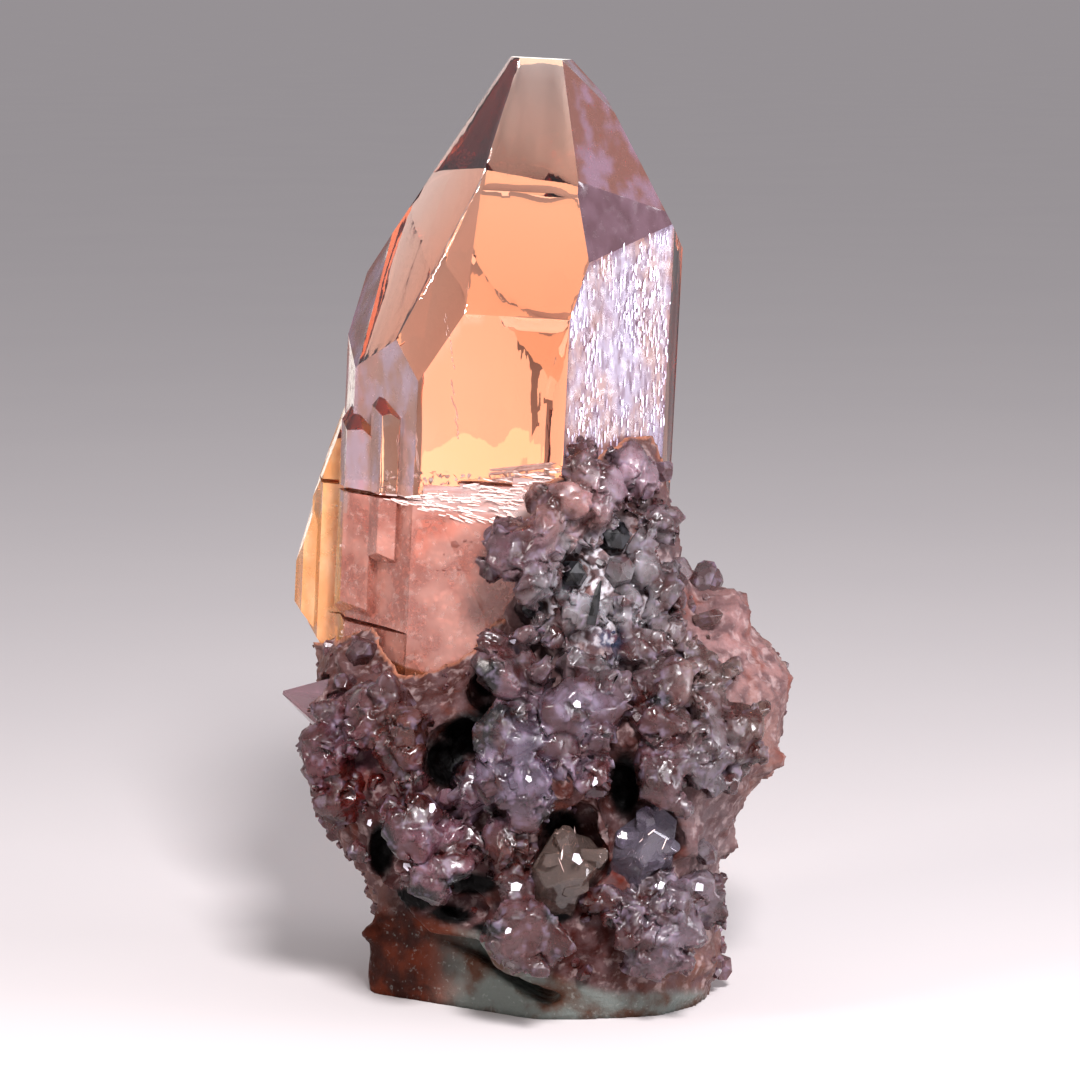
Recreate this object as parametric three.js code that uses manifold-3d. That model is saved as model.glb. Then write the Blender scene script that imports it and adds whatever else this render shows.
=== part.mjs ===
// A peach topaz crystal standing in a lump of matrix crusted with small quartz crystals.
// Millimetres, +Z up. The origin is on the resting face, below the middle of the specimen.
// The viewer stands on the -Y side, so the front of the specimen faces -Y.

import * as THREE from "three";
import { mergeVertices } from "three/addons/utils/BufferGeometryUtils.js";
import Module from "manifold-3d";

const wasm = await Module();
wasm.setup();

// Main crystal: its axis passes through AXIS_POINT and leans over to +X.
const AXIS_POINT = new THREE.Vector3(-2.0, 0.6, 32.5);
const AXIS_LEAN = 2.8;
const TIP_ABOVE = 25.3;
const ROOT_BELOW = 16.5;

// Middle of the specimen's box, which is moved onto the origin
const MIDDLE = new THREE.Vector3(-0.04, -1.01, 0);

// Larger than the whole specimen
const BLOCK_SIZE = 80;

// Gap kept between neighbouring solids, and the shortest edge worth keeping on the rock
const GAP = 0.3;
const FINEST_EDGE = 0.01;

// Crystals on the front are placed as they look from EYE, by x and z on the plane y = 0.
const EYE = new THREE.Vector3(0, -247.6, 63);
const NEAREST_Y = -16;
const FARTHEST_Y = 8;
const TURN_TO_EYE = 0.3;

// The rock's sections are superellipses of this exponent, and its lumps stand this far out.
const ROUNDNESS = 2.6;
const LUMP_HEIGHT = 0.6;
const ROW_HEIGHT = 1.9;

// Sections of the rock, from the bottom up: z, left, right, front, back.
const BODY = {
  centre: [0, 0],
  turn: 0,
  segments: 30,
  levels: [
    [-1, -10.1, 9.6, -8.0, 8.1],
    [0, -10.3, 10.2, -8.3, 8.5],
    [1, -10.6, 11.2, -8.9, 9.2],
    [3.3, -10.7, 11.7, -9.6, 9.8],
    [5.5, -10.7, 11.2, -10.2, 10.4],
    [8, -11.8, 11.2, -10.8, 10.8],
    [10, -12.7, 11.5, -11.2, 11.2],
    [12.3, -13.2, 12.7, -11.5, 11.4],
    [14.5, -13.7, 14.5, -11.5, 11.4],
    [17, -14.2, 15.4, -11.2, 11.2],
    [19.2, -14.2, 15.8, -10.4, 10.8],
    [20.7, -14, 15.8, -9.6, 10.4],
    [22, -13.4, 14, -8.8, 9.6],
    [23.2, -11.8, 12.6, -8.2, 9],
    [24.4, -8, 11.6, -7.4, 8.4],
    [25.6, -5, 9.3, -6, 7],
  ],
};

// Crust that climbs the topaz's front right face, with the face's direction
const CRUST = {
  centre: [4.25, -4.3],
  turn: 39.4,
  segments: 20,
  levels: [
    [17, -6, 5, -4, 2],
    [21, -7.2, 5.8, -5.2, 3],
    [23.5, -6.6, 5.4, -4.8, 3],
    [25.5, -5.8, 5.2, -4, 3],
    [28, -5.3, 5, -3.2, 3],
    [30, -4.9, 4.8, -2.6, 3],
    [32, -4.3, 4.5, -2, 2.5],
    [33.5, -3.2, 4.2, -1.6, 2],
    [34.6, -1.6, 3.8, -1.3, 1.5],
    [35.2, 0.2, 3.2, -1, 1],
  ],
};

// Rock that stands behind the topaz
const WALL = {
  centre: [0, 0],
  turn: 0,
  segments: 20,
  levels: [
    [16, -9, 10, 1, 9],
    [20, -10, 10.8, 2, 10.6],
    [23, -9.5, 10.4, 3, 11],
    [25.5, -8, 9.2, 4, 10.8],
    [27.5, -6, 7.8, 5, 10.4],
    [29, -3.5, 6.2, 5.5, 10],
    [30, -1, 4.4, 6, 9.4],
  ],
};

const LOFTS = [BODY, CRUST, WALL];

// Steps of the search for the rock's surface, and the reach over which its slope is taken
const SEARCH_STEPS = 600;
const SLOPE_REACH = 0.3;

// Mounds of crystals that stand out from the rock: centre x, y, z and half sizes
const MOUNDS = [
  [0.2, -11, 15.4, 3.8, 1.7, 2.9],
  [-6.8, -10, 10.8, 2.6, 1.8, 3],
  [-1, -10.4, 5.2, 2.9, 1.7, 2.2],
  [7.2, -9.2, 5.4, 2.6, 1.8, 3],
  [-12, -5.5, 15, 2.2, 3.2, 3.8],
  [10.8, -1.5, 23.9, 2.6, 3.4, 1.9],
  [-1.3, -7.6, 28.9, 1.9, 1.5, 1.7],
  [-2.1, -8.8, 21.6, 2.1, 1.8, 1.8],
  [-0.9, -8, 24.6, 1.5, 1.5, 2.2],
];

// Hollows in the rock: centre x, y, z and half sizes
const HOLLOWS = [
  [-9.5, -12, 24.5, 8.5, 9, 5.5],
  [-4.8, -10.6, 16.4, 1.9, 3, 2.4],
  [-3.3, -9.6, 20.6, 0.9, 2.4, 1.2],
  [4.8, -10.6, 13.9, 1.2, 3.2, 2.5],
  [-9.4, -8.8, 9.6, 1.1, 2.6, 2.2],
  [2.4, -11.2, 12.7, 1.1, 2.4, 1.4],
  [-4.8, -10.4, 7.4, 1.7, 2.2, 0.8],
];

// A small crystal's root and belt, as shares of its width, its height and its radius
const ROOT_SHARE = 0.5;
const BELT_SHARE = 0.35;
const LOOSE_TURN = 0.4;
const ROOT_TAPER = 0.85;
const TIP_GROWTH = 1.6;
const FULL_TURN = 2 * Math.PI;

// Crystals on the front are this much wider than they look, and this high for their width.
const FRONT_WIDENING = 1.12;
const FRONT_LOWEST = 0.55;
const FRONT_HIGHEST = 0.8;
const FRONT_SEED = 11;

// Crystals on the front: x and z as seen, width, and how far the tip turns right and up.
const FRONT_CRYSTALS = [
  [2.2, 17.4, 3.4, -0.3, 0.5],
  [3.0, 16.1, 2.2, 0.5, 0.2],
  [0.9, 15.7, 2.4, 0, 0.1],
  [-2.1, 15.4, 3.2, -0.4, 0.5],
  [-3.8, 12.8, 2.8, -0.6, -0.1],
  [-2.4, 12.6, 2.4, 0.2, -0.5],
  [-0.8, 13.1, 2.4, 0, -0.3],
  [1.5, 12.9, 3.0, 0.1, -0.6],
  [3.5, 13.6, 1.8, 0.5, 0],
  [-0.6, 11.1, 2.2, 0.2, -0.3],
  [-5.6, 15.3, 1.5, 0, 0],
  [-2.1, 19.9, 3.0, -0.8, -0.1],
  [-0.6, 17.8, 1.9, -0.2, -0.5],
  [4.9, 18.1, 2.4, 0.2, -0.2],
  [3.7, 19.1, 1.9, 0.3, 0.1],
  [7.4, 13.2, 2.5, -0.3, 0.1],
  [8.3, 14.1, 2.2, 0.3, 0.3],
  [7.2, 16.8, 2.4, 0, 0.2],
  [5.6, 15.6, 2.4, -0.2, -0.4],
  [7.8, 19.2, 2.7, 0.1, 0.3],
  [10.7, 19.8, 2.0, 0.3, 0.2],
  [9.6, 20.4, 1.8, 0, 0.4],
  [10.2, 13.4, 2.2, 0.2, -0.2],
  [10.2, 15.9, 2.2, 0.2, 0],
  [12.6, 16.5, 2.2, 0.2, 0.2],
  [12.1, 14.9, 1.8, 0.2, -0.2],
  [11.9, 13.2, 1.5, 0.2, -0.3],
  [6.0, 21.5, 1.8, 0.1, 0.2],
  [7.6, 22.6, 1.8, 0.3, 0.4],
  [-1.5, 27.5, 3.4, -0.7, 0],
  [1.2, 30.4, 3.2, -0.2, 0.4],
  [3.8, 31.5, 2.7, 0.1, 0.5],
  [5.6, 33.2, 2.0, 0.1, 0.6],
  [6.1, 32.0, 1.9, 0.3, 0.2],
  [6.9, 29.3, 1.8, 0.3, 0.3],
  [3.1, 29.4, 1.7, 0, 0.2],
  [0.8, 28.4, 1.5, -0.3, 0],
  [6.4, 26.6, 2.0, 0.3, 0.1],
  [0.3, 25.6, 1.6, -0.3, 0.1],
  [7.9, 25.0, 1.8, 0.4, 0.2],
  [5.3, 23.9, 1.6, 0.1, 0],
  [2.4, 23.6, 1.7, -0.2, -0.1],
  [0.7, 22.2, 1.5, -0.1, -0.2],
  [-11.0, 17.0, 2.7, 0, 0.7],
  [-8.3, 16.5, 2.7, 0.2, 0.5],
  [-9.1, 14.7, 1.9, 0, 0],
  [-13.3, 15.5, 2.2, -0.5, 0.1],
  [-13.6, 14.2, 2.0, -0.5, 0],
  [-12.0, 12.6, 1.8, -0.1, 0],
  [-12.9, 11.4, 1.8, -0.4, -0.1],
  [-7.8, 13.2, 1.3, 0.2, 0],
  [-7.7, 11.1, 2.2, 0, 0.6],
  [-5.4, 9.4, 1.8, 0, 0.2],
  [-4.3, 9.5, 1.2, 0.2, 0],
  [-8.3, 9.8, 2.2, -0.5, 0],
  [-8.3, 7.6, 1.8, -0.5, -0.3],
  [-7.0, 6.8, 2.2, -0.2, -0.5],
  [-5.8, 7.4, 2.2, 0, -0.2],
  [-2.1, 9.1, 2.5, 0, 0.3],
  [-0.2, 8.8, 2.2, 0.2, 0.1],
  [-2.0, 7.1, 1.8, 0, 0],
  [-1.1, 3.4, 3.4, -0.1, -0.2],
  [-0.8, 2.0, 1.8, 0.1, -0.5],
  [-2.3, 3.2, 1.8, -0.5, -0.2],
  [9.0, 9.1, 2.2, 0.4, 0.2],
  [7.5, 6.5, 1.5, 0, 0.5],
  [9.9, 6.3, 1.7, 0.3, 0.4],
  [7.5, 5.0, 1.5, 0, 0.2],
  [6.0, 3.3, 2.1, -0.3, 0],
  [6.2, 2.0, 1.8, -0.2, -0.3],
  [7.8, 1.8, 1.8, 0.1, -0.2],
  [8.8, 3.9, 1.8, 0.4, 0],
  [5.6, 5.0, 2.0, -0.4, 0.2],
  [8.7, 5.6, 2.0, 0.3, 0],
  [3.5, 5.6, 1.8, 0.2, -0.4],
  [10.4, 5.3, 2.2, 0.5, 0],
];

// Crystals that are pieces of their own: name, as in FRONT_CRYSTALS, then height and colour
const LOOSE_CRYSTALS = [
  ["clear_crystal_low", 2.0, 8.1, 4.4, -0.1, 0.5, 2.6, "#b9a8a4"],
  ["clear_crystal_right", 6.7, 9.3, 4.2, 0.1, 0.4, 2.4, "#b3a3b5"],
  ["black_crystal_high", 4.6, 28.5, 1.9, 0.1, 0.1, 0.7, "#15151a"],
  ["black_crystal_middle", 2.0, 26.1, 1.7, -0.2, 0, 0.7, "#15151a"],
  ["black_crystal_left", -0.5, 24.0, 1.3, -0.2, 0, 0.8, "#15151a"],
  ["black_crystal_low", -1.7, 21.6, 1.3, -0.3, 0, 0.7, "#1d2126"],
];

// Clear crystal that points out of the rock's left side: root, tip and width
const SIDE_ROOT = new THREE.Vector3(-9.6, -3.6, 17.6);
const SIDE_TIP = new THREE.Vector3(-15.9, -3.9, 19.4);
const SIDE_WIDTH = 5.4;
const SIDE_SINKS = 0.5;
const SIDE_SPIN = 0.35;

// Small crystals spread round the sides and the back
const SPREAD_CRYSTALS = 34;
const SPREAD_FROM = 65;
const SPREAD_TO = 300;
const SPREAD_LOWEST = 3;
const SPREAD_HIGHEST = 21.5;
const SPREAD_REACH = 20;
const SPREAD_NARROWEST = 1.3;
const SPREAD_WIDEST = 2.8;
const SPREAD_FLATTEST = 0.35;
const SPREAD_STEEPEST = 0.7;
const SPREAD_SEED = 37;

const radians = THREE.MathUtils.degToRad;

function solidOf(geometry) {
  const bare = geometry.clone();
  bare.deleteAttribute("normal");
  bare.deleteAttribute("uv");
  const merged = mergeVertices(bare, 1e-4);
  return new wasm.Manifold(
    new wasm.Mesh({
      numProp: 3,
      vertProperties: merged.getAttribute("position").array,
      triVerts: new Uint32Array(merged.index.array),
    }),
  );
}

// A flat face, by the way it looks (0 towards the viewer, 90 to the right, 180 to the back),
// how far it leans back from the crystal's long axis, and a point that it passes through.
function face(looks, lean, point) {
  const normal = new THREE.Vector3(
    Math.sin(radians(looks)) * Math.cos(radians(lean)),
    -Math.cos(radians(looks)) * Math.cos(radians(lean)),
    Math.sin(radians(lean)),
  );
  return { normal, offset: normal.dot(new THREE.Vector3(...point)) };
}

// The solid that the faces enclose, cut from a block; grow moves each face outwards.
function crystalOf(faces, grow = 0) {
  const block = solidOf(new THREE.BoxGeometry(BLOCK_SIZE, BLOCK_SIZE, BLOCK_SIZE));
  return faces.reduce(
    (solid, { normal, offset }) =>
      solid.trimByPlane([-normal.x, -normal.y, -normal.z], -offset - grow),
    block,
  );
}

// Corners of the main crystal's section at AXIS_POINT, from the left round the front
const SECTION = [
  [-10.3, 2.6],
  [-9.6, -1.2],
  [-5.6, -6.0],
  [3.3, -7.4],
  [9.4, -2.4],
  [10.1, 0.9],
  [8.6, 4.4],
  [3.4, 6.6],
  [-5.0, 6.0],
  [-9.3, 4.2],
];

function prismFaces(section) {
  return section.map(([x, y], i) => {
    const [nextX, nextY] = section[(i + 1) % section.length];
    const looks = THREE.MathUtils.radToDeg(Math.atan2(nextY - y, nextX - x));
    return face(looks, 0, [x, y, 0]);
  });
}

const HEAD_FACES = [
  face(0, 90, [0, 0, TIP_ABOVE]),
  face(-9.1, 24.3, [0.3, -1.25, TIP_ABOVE]),
  face(-9, 15.5, [0, -6.95, 9.8]),
  face(-34.7, 15, [-3.04, -6.4, 10]),
  face(-63, 23, [-5.6, -6, 9.3]),
  face(-70, 20.5, [-8.2, 0.5, 11]),
  face(-95, 32, [-1, 0.2, TIP_ABOVE]),
  face(31.5, 21, [4, -6.8, 13.4]),
  face(33.5, 26.9, [2.7, -1.15, TIP_ABOVE]),
  face(92, 30, [5.1, 0, 22.8]),
  face(75, 46, [2.5, 0, TIP_ABOVE]),
  face(171, 22, [0.3, 1.4, TIP_ABOVE]),
  face(173, 10, [0.3, 5.1, 16]),
  face(132, 31, [2.4, 1.2, TIP_ABOVE]),
  face(-142, 30, [-1.6, 1.2, TIP_ABOVE]),
];

// Open cracks along the cleavage, square to the main crystal's axis: centre and half sizes
const CRACKS = [
  [-9.5, -1.5, -1.4, 9.5, 5.5, 0.16],
  [-6, 6.4, -2.9, 6.5, 8.5, 0.16],
  [-1.2, -6.9, -0.1, 1.9, 3, 0.15],
  [-9.4, -3, -9.6, 5.6, 4.4, 0.16],
];

// Crystals that stand beside the main one, parallel to it, and are one with it.
const BESIDE = [
  {
    section: [[-8.4, -3.6], [-7.7, -5.0], [-6.6, -5.2], [-6.4, -3.2], [-7.4, -2.4]],
    top: [face(-40, 52, [-7.4, -4.6, 3.9]), face(60, 58, [-7.2, -4.4, 3.9])],
    foot: face(-40, -55, [-7.4, -4.6, -5.2]),
  },
  {
    section: [[-10.3, -1.0], [-9.9, -2.4], [-8.2, -3.9], [-7.6, -2.6], [-9.2, 0.4]],
    top: [face(-50, 48, [-9.4, -2.4, 2.6]), face(40, 62, [-9.0, -2.2, 2.9])],
    foot: face(-50, -50, [-9.4, -2.4, -8.6]),
  },
  {
    section: [[-12.1, 3.2], [-11.4, 1.2], [-8.6, 0.6], [-7.6, 3.2], [-8.6, 6.2], [-11.2, 5.4]],
    top: [face(-86, 18.1, [-10.9, 3.2, 1.0]), face(-20, 40, [-9.8, 1.0, 1.6])],
    foot: face(-84, -36, [-12.1, 3.2, -10.6]),
  },
  {
    section: [[-13.0, 3.6], [-12.5, 2.2], [-9.6, 1.4], [-8.6, 4.2], [-10.6, 6.6], [-12.3, 6.0]],
    top: [face(-86, 16, [-12.3, 3.6, -4.4]), face(-16, 44, [-11.6, 2.0, -4.2])],
    foot: face(-84, -40, [-13.0, 3.6, -9.4]),
  },
];

function leaned(solid) {
  return solid.rotate([0, AXIS_LEAN, 0]).translate(AXIS_POINT.toArray());
}

function topazCrystal(grow = 0) {
  const foot = face(0, -90, [0, 0, -ROOT_BELOW]);
  const main = crystalOf([...prismFaces(SECTION), ...HEAD_FACES, foot], grow);
  const beside = BESIDE.map((piece) =>
    crystalOf([...prismFaces(piece.section), ...piece.top, piece.foot], grow),
  );
  return leaned(wasm.Manifold.union([main, ...beside]));
}

// A loft's section at height z: centre and half sizes, in the loft's own turned frame
function sectionAt({ levels }, z) {
  const above = Math.max(1, levels.findIndex((level) => level[0] >= z - 1e-3));
  const upper = levels[above];
  const lower = levels[above - 1];
  const t = (z - lower[0]) / (upper[0] - lower[0]);
  const [left, right, front, back] = [1, 2, 3, 4].map((i) =>
    THREE.MathUtils.lerp(lower[i], upper[i], t),
  );
  return {
    x: (left + right) / 2,
    y: (front + back) / 2,
    halfX: (right - left) / 2,
    halfY: (back - front) / 2,
  };
}

// Lumps of the rock's surface, between -1 and 1
function lump(x, y, z) {
  return (
    0.5 * Math.sin(0.55 * x + 0.9) * Math.sin(0.62 * z + 0.3 * y + 1.7) +
    0.3 * Math.sin(1.3 * x - 0.7 * z + 2.1) * Math.sin(1.15 * y + 0.9 * z) +
    0.2 * Math.sin(2.4 * x + 1.9 * z) * Math.sin(2.2 * y - 1.3 * z + 0.6)
  );
}

// The solid of a loft: rings of a cylinder moved out to the section at their height
function loftSolid(loft) {
  const bottom = loft.levels[0][0];
  const height = loft.levels.at(-1)[0] - bottom;
  const rows = Math.round(height / ROW_HEIGHT);
  const tube = new THREE.CylinderGeometry(1, 1, height, loft.segments, rows);
  const place = tube.getAttribute("position");
  for (let i = 0; i < place.count; i++) {
    const reach = Math.hypot(place.getX(i), place.getZ(i));
    const angle = Math.atan2(place.getZ(i), place.getX(i));
    const z = bottom + height / 2 - place.getY(i);
    const section = sectionAt(loft, z);
    const power = 2 / ROUNDNESS;
    const across = Math.sign(Math.cos(angle)) * Math.abs(Math.cos(angle)) ** power;
    const along = Math.sign(Math.sin(angle)) * Math.abs(Math.sin(angle)) ** power;
    const x = section.x + reach * section.halfX * across;
    const y = section.y + reach * section.halfY * along;
    const out = reach * LUMP_HEIGHT * lump(x, y, z);
    place.setXYZ(i, x + out * across, y + out * along, z);
  }
  const [centreX, centreY] = loft.centre;
  return solidOf(tube).rotate([0, 0, loft.turn]).translate([centreX, centreY, 0]);
}

function ballSolid([x, y, z, halfX, halfY, halfZ]) {
  const ball = new THREE.IcosahedronGeometry(1, 1);
  ball.scale(halfX, halfY, halfZ);
  return solidOf(ball).translate([x, y, z]);
}

// The smooth base slab's slanting front, and how far back the slot over its top reaches
const SLAB_FRONT = face(-32, 6, [-0.6, -8.2, 0]);
const SLOT_BACK = -3.4;

// Front outline of the space under the crust, x and z: the slot's roof and what lies beside it
const SLOT_ROOF = [
  [-10, 8.2],
  [-8.2, 6.9],
  [-6.6, 5.3],
  [-3.3, 5.1],
  [-2.8, 3.9],
  [-1, 2.5],
  [2, 1.4],
];
const UNDERCUT = [[-18, -1], [-18, 8.6], ...SLOT_ROOF, [5.5, 0.6], [6.5, -1]];

// Top of the base slab, which is the slot's floor
const SLAB_TOP = [
  [-10.6, 5.2],
  [-6.2, 3.9],
  [-3.7, 3.1],
  [-1.2, 1.6],
  [0.6, 0.8],
];

function plate(outline, front, back) {
  const shape = new THREE.Shape(outline.map(([x, z]) => new THREE.Vector2(x, z)));
  const slab = new THREE.ExtrudeGeometry(shape, { depth: back - front, bevelEnabled: false });
  slab.rotateX(Math.PI / 2);
  return solidOf(slab).translate([0, back, 0]);
}

// The undercut reaches back to the slab's slanting front; a deeper slot lies on the slab's top.
function undercut() {
  const { normal, offset } = SLAB_FRONT;
  const space = plate(UNDERCUT, NEAREST_Y, FARTHEST_Y).trimByPlane(normal.toArray(), offset);
  const slotOutline = [...SLOT_ROOF, ...SLAB_TOP.toReversed()];
  return space.add(plate(slotOutline, NEAREST_Y, SLOT_BACK));
}

// Below 1 inside the loft, above 1 outside
function loftField(loft, point) {
  const levels = loft.levels;
  if (point.z < levels[0][0] || point.z > levels.at(-1)[0]) {
    return 9;
  }
  const [centreX, centreY] = loft.centre;
  const local = new THREE.Vector2(point.x - centreX, point.y - centreY);
  local.rotateAround(new THREE.Vector2(), -radians(loft.turn));
  const section = sectionAt(loft, point.z);
  return (
    Math.abs((local.x - section.x) / section.halfX) ** ROUNDNESS +
    Math.abs((local.y - section.y) / section.halfY) ** ROUNDNESS
  );
}

function ballField([x, y, z, halfX, halfY, halfZ], point) {
  return Math.hypot((point.x - x) / halfX, (point.y - y) / halfY, (point.z - z) / halfZ);
}

function rockField(point) {
  const loft = Math.min(...LOFTS.map((each) => loftField(each, point)));
  const mound = Math.min(...MOUNDS.map((ball) => ballField(ball, point)));
  const hollow = Math.min(...HOLLOWS.map((ball) => ballField(ball, point)));
  return Math.max(Math.min(loft, mound), 2 - hollow);
}

// Where a straight line from one point to another first meets the rock, and how it looks there
function meet(from, to) {
  for (let i = 0; i <= SEARCH_STEPS; i++) {
    const point = from.clone().lerp(to, i / SEARCH_STEPS);
    if (rockField(point) < 1) {
      return { point, normal: outwards(point) };
    }
  }
  return null;
}

function outwards(point) {
  const slope = ["x", "y", "z"].map((axis) => {
    const ahead = point.clone();
    const behind = point.clone();
    ahead[axis] += SLOPE_REACH;
    behind[axis] -= SLOPE_REACH;
    return THREE.MathUtils.clamp(rockField(ahead) - rockField(behind), -1, 1);
  });
  return new THREE.Vector3(...slope).normalize();
}

function alongSight(x, z, y) {
  const share = (y - EYE.y) / -EYE.y;
  return EYE.clone().lerp(new THREE.Vector3(x, 0, z), share);
}

// A six-sided crystal with its root at the origin and its tip along +Z
function pointedCrystal(width, height, root) {
  const radius = width / 2;
  const profile = [
    new THREE.Vector2(0, -root),
    new THREE.Vector2(radius * ROOT_TAPER, -root),
    new THREE.Vector2(radius, height * BELT_SHARE),
    new THREE.Vector2(0, height),
  ];
  return solidOf(new THREE.LatheGeometry(profile, 6).rotateX(Math.PI / 2));
}

// The same crystal with all its faces moved outwards; its tip moves more than they do.
function grownCrystal(width, height, root, grow) {
  return pointedCrystal(width + 2 * grow, height + TIP_GROWTH * grow, root + grow);
}

// Turns a crystal that points along +Z to point along a direction, spun about itself.
function aimed(solid, direction, spin, point) {
  const turn = new THREE.Quaternion().setFromUnitVectors(new THREE.Vector3(0, 0, 1), direction);
  const spun = new THREE.Quaternion().setFromAxisAngle(new THREE.Vector3(0, 0, 1), spin);
  const matrix = new THREE.Matrix4().compose(
    point,
    turn.multiply(spun),
    new THREE.Vector3(1, 1, 1),
  );
  return solid.transform(matrix.elements);
}

// Even draws between 0 and 1 that come out the same each time
function drawsFrom(seed) {
  let state = seed;
  return () => {
    state = (state * 9301 + 49297) % 233280;
    return state / 233280;
  };
}

function frontSpot(x, z, right, up) {
  const spot = meet(alongSight(x, z, NEAREST_Y), alongSight(x, z, FARTHEST_Y));
  const direction = spot.normal.clone().add(new THREE.Vector3(right, -TURN_TO_EYE, up)).normalize();
  return { point: spot.point, direction };
}

function frontCrystals() {
  const draw = drawsFrom(FRONT_SEED);
  return FRONT_CRYSTALS.map(([x, z, width, right, up]) => {
    const { point, direction } = frontSpot(x, z, right, up);
    const height = width * THREE.MathUtils.lerp(FRONT_LOWEST, FRONT_HIGHEST, draw());
    const crystal = pointedCrystal(width * FRONT_WIDENING, height, width * ROOT_SHARE);
    return aimed(crystal, direction, FULL_TURN * draw(), point);
  });
}

function spreadCrystals() {
  const draw = drawsFrom(SPREAD_SEED);
  const placed = [];
  for (let i = 0; i < SPREAD_CRYSTALS; i++) {
    const looks = radians(THREE.MathUtils.lerp(SPREAD_FROM, SPREAD_TO, draw()));
    const z = THREE.MathUtils.lerp(SPREAD_LOWEST, SPREAD_HIGHEST, draw());
    const far = new THREE.Vector3(Math.sin(looks), -Math.cos(looks), 0)
      .multiplyScalar(SPREAD_REACH)
      .setZ(z);
    const spot = meet(far, new THREE.Vector3(0, 0, z));
    const width = THREE.MathUtils.lerp(SPREAD_NARROWEST, SPREAD_WIDEST, draw() ** 2);
    const height = width * THREE.MathUtils.lerp(SPREAD_FLATTEST, SPREAD_STEEPEST, draw());
    const tilt = new THREE.Vector3(draw(), draw(), draw()).subScalar(0.5);
    const direction = spot.normal.clone().add(tilt).normalize();
    const crystal = pointedCrystal(width, height, width * ROOT_SHARE);
    placed.push(aimed(crystal, direction, FULL_TURN * draw(), spot.point));
  }
  return placed;
}

function looseCrystal([, x, z, width, right, up, height], grow = 0) {
  const { point, direction } = frontSpot(x, z, right, up);
  const crystal = grownCrystal(width, height, width * ROOT_SHARE, grow);
  return aimed(crystal, direction, LOOSE_TURN + x, point);
}

function sideCrystal(grow = 0) {
  const direction = SIDE_TIP.clone().sub(SIDE_ROOT).normalize();
  const length = SIDE_TIP.distanceTo(SIDE_ROOT);
  const crystal = grownCrystal(SIDE_WIDTH, length, SIDE_SINKS, grow);
  return aimed(crystal, direction, SIDE_SPIN, SIDE_ROOT);
}

function largest(solid) {
  return solid.decompose().sort((a, b) => b.volume() - a.volume())[0];
}

function matrixRock() {
  const lumps = [...LOFTS.map(loftSolid), ...MOUNDS.map(ballSolid)];
  const hollows = wasm.Manifold.union([...HOLLOWS.map(ballSolid), undercut()]);
  const bare = largest(wasm.Manifold.union(lumps).subtract(hollows));
  const crusted = wasm.Manifold.union([bare, ...frontCrystals(), ...spreadCrystals()]);
  const sockets = wasm.Manifold.union([
    topazCrystal(GAP),
    sideCrystal(GAP),
    ...LOOSE_CRYSTALS.map((row) => looseCrystal(row, GAP)),
  ]);
  return largest(crusted.subtract(sockets).trimByPlane([0, 0, 1], 0)).simplify(FINEST_EDGE);
}

function meshOf(name, solid, colour, roughness) {
  const { numProp, numVert, vertProperties, triVerts } = solid.getMesh();
  const positions = new Float32Array(numVert * 3);
  for (let i = 0; i < numVert; i++) {
    positions.set(vertProperties.subarray(i * numProp, i * numProp + 3), i * 3);
  }
  const geometry = new THREE.BufferGeometry();
  geometry.setAttribute("position", new THREE.BufferAttribute(positions, 3));
  geometry.setIndex(new THREE.BufferAttribute(triVerts, 1));
  geometry.computeVertexNormals();
  const material = new THREE.MeshStandardMaterial({ color: colour, roughness, metalness: 0 });
  const mesh = new THREE.Mesh(geometry, material);
  mesh.name = name;
  return mesh;
}

const cracks = leaned(wasm.Manifold.union(CRACKS.map(ballSolid)));
const topaz = largest(topazCrystal().subtract(cracks));
const side = largest(sideCrystal().subtract(topazCrystal(GAP)));

const specimen = new THREE.Group();
specimen.position.copy(MIDDLE).negate();
specimen.add(meshOf("topaz_crystal", topaz, "#f0a77c", 0.05));
specimen.add(meshOf("matrix_rock", matrixRock(), "#8d7476", 0.7));
specimen.add(meshOf("side_crystal", side, "#c9a3b0", 0.08));
for (const row of LOOSE_CRYSTALS) {
  const crystal = largest(looseCrystal(row).subtract(topazCrystal(GAP)));
  specimen.add(meshOf(row[0], crystal, row.at(-1), 0.15));
}

export default specimen;
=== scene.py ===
"""A peach topaz standing in matrix: its surfaces, small crystals, light and camera."""

import math

import bmesh
import bpy
import numpy as np
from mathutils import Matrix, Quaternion, Vector, noise
from mathutils.bvhtree import BVHTree


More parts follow.
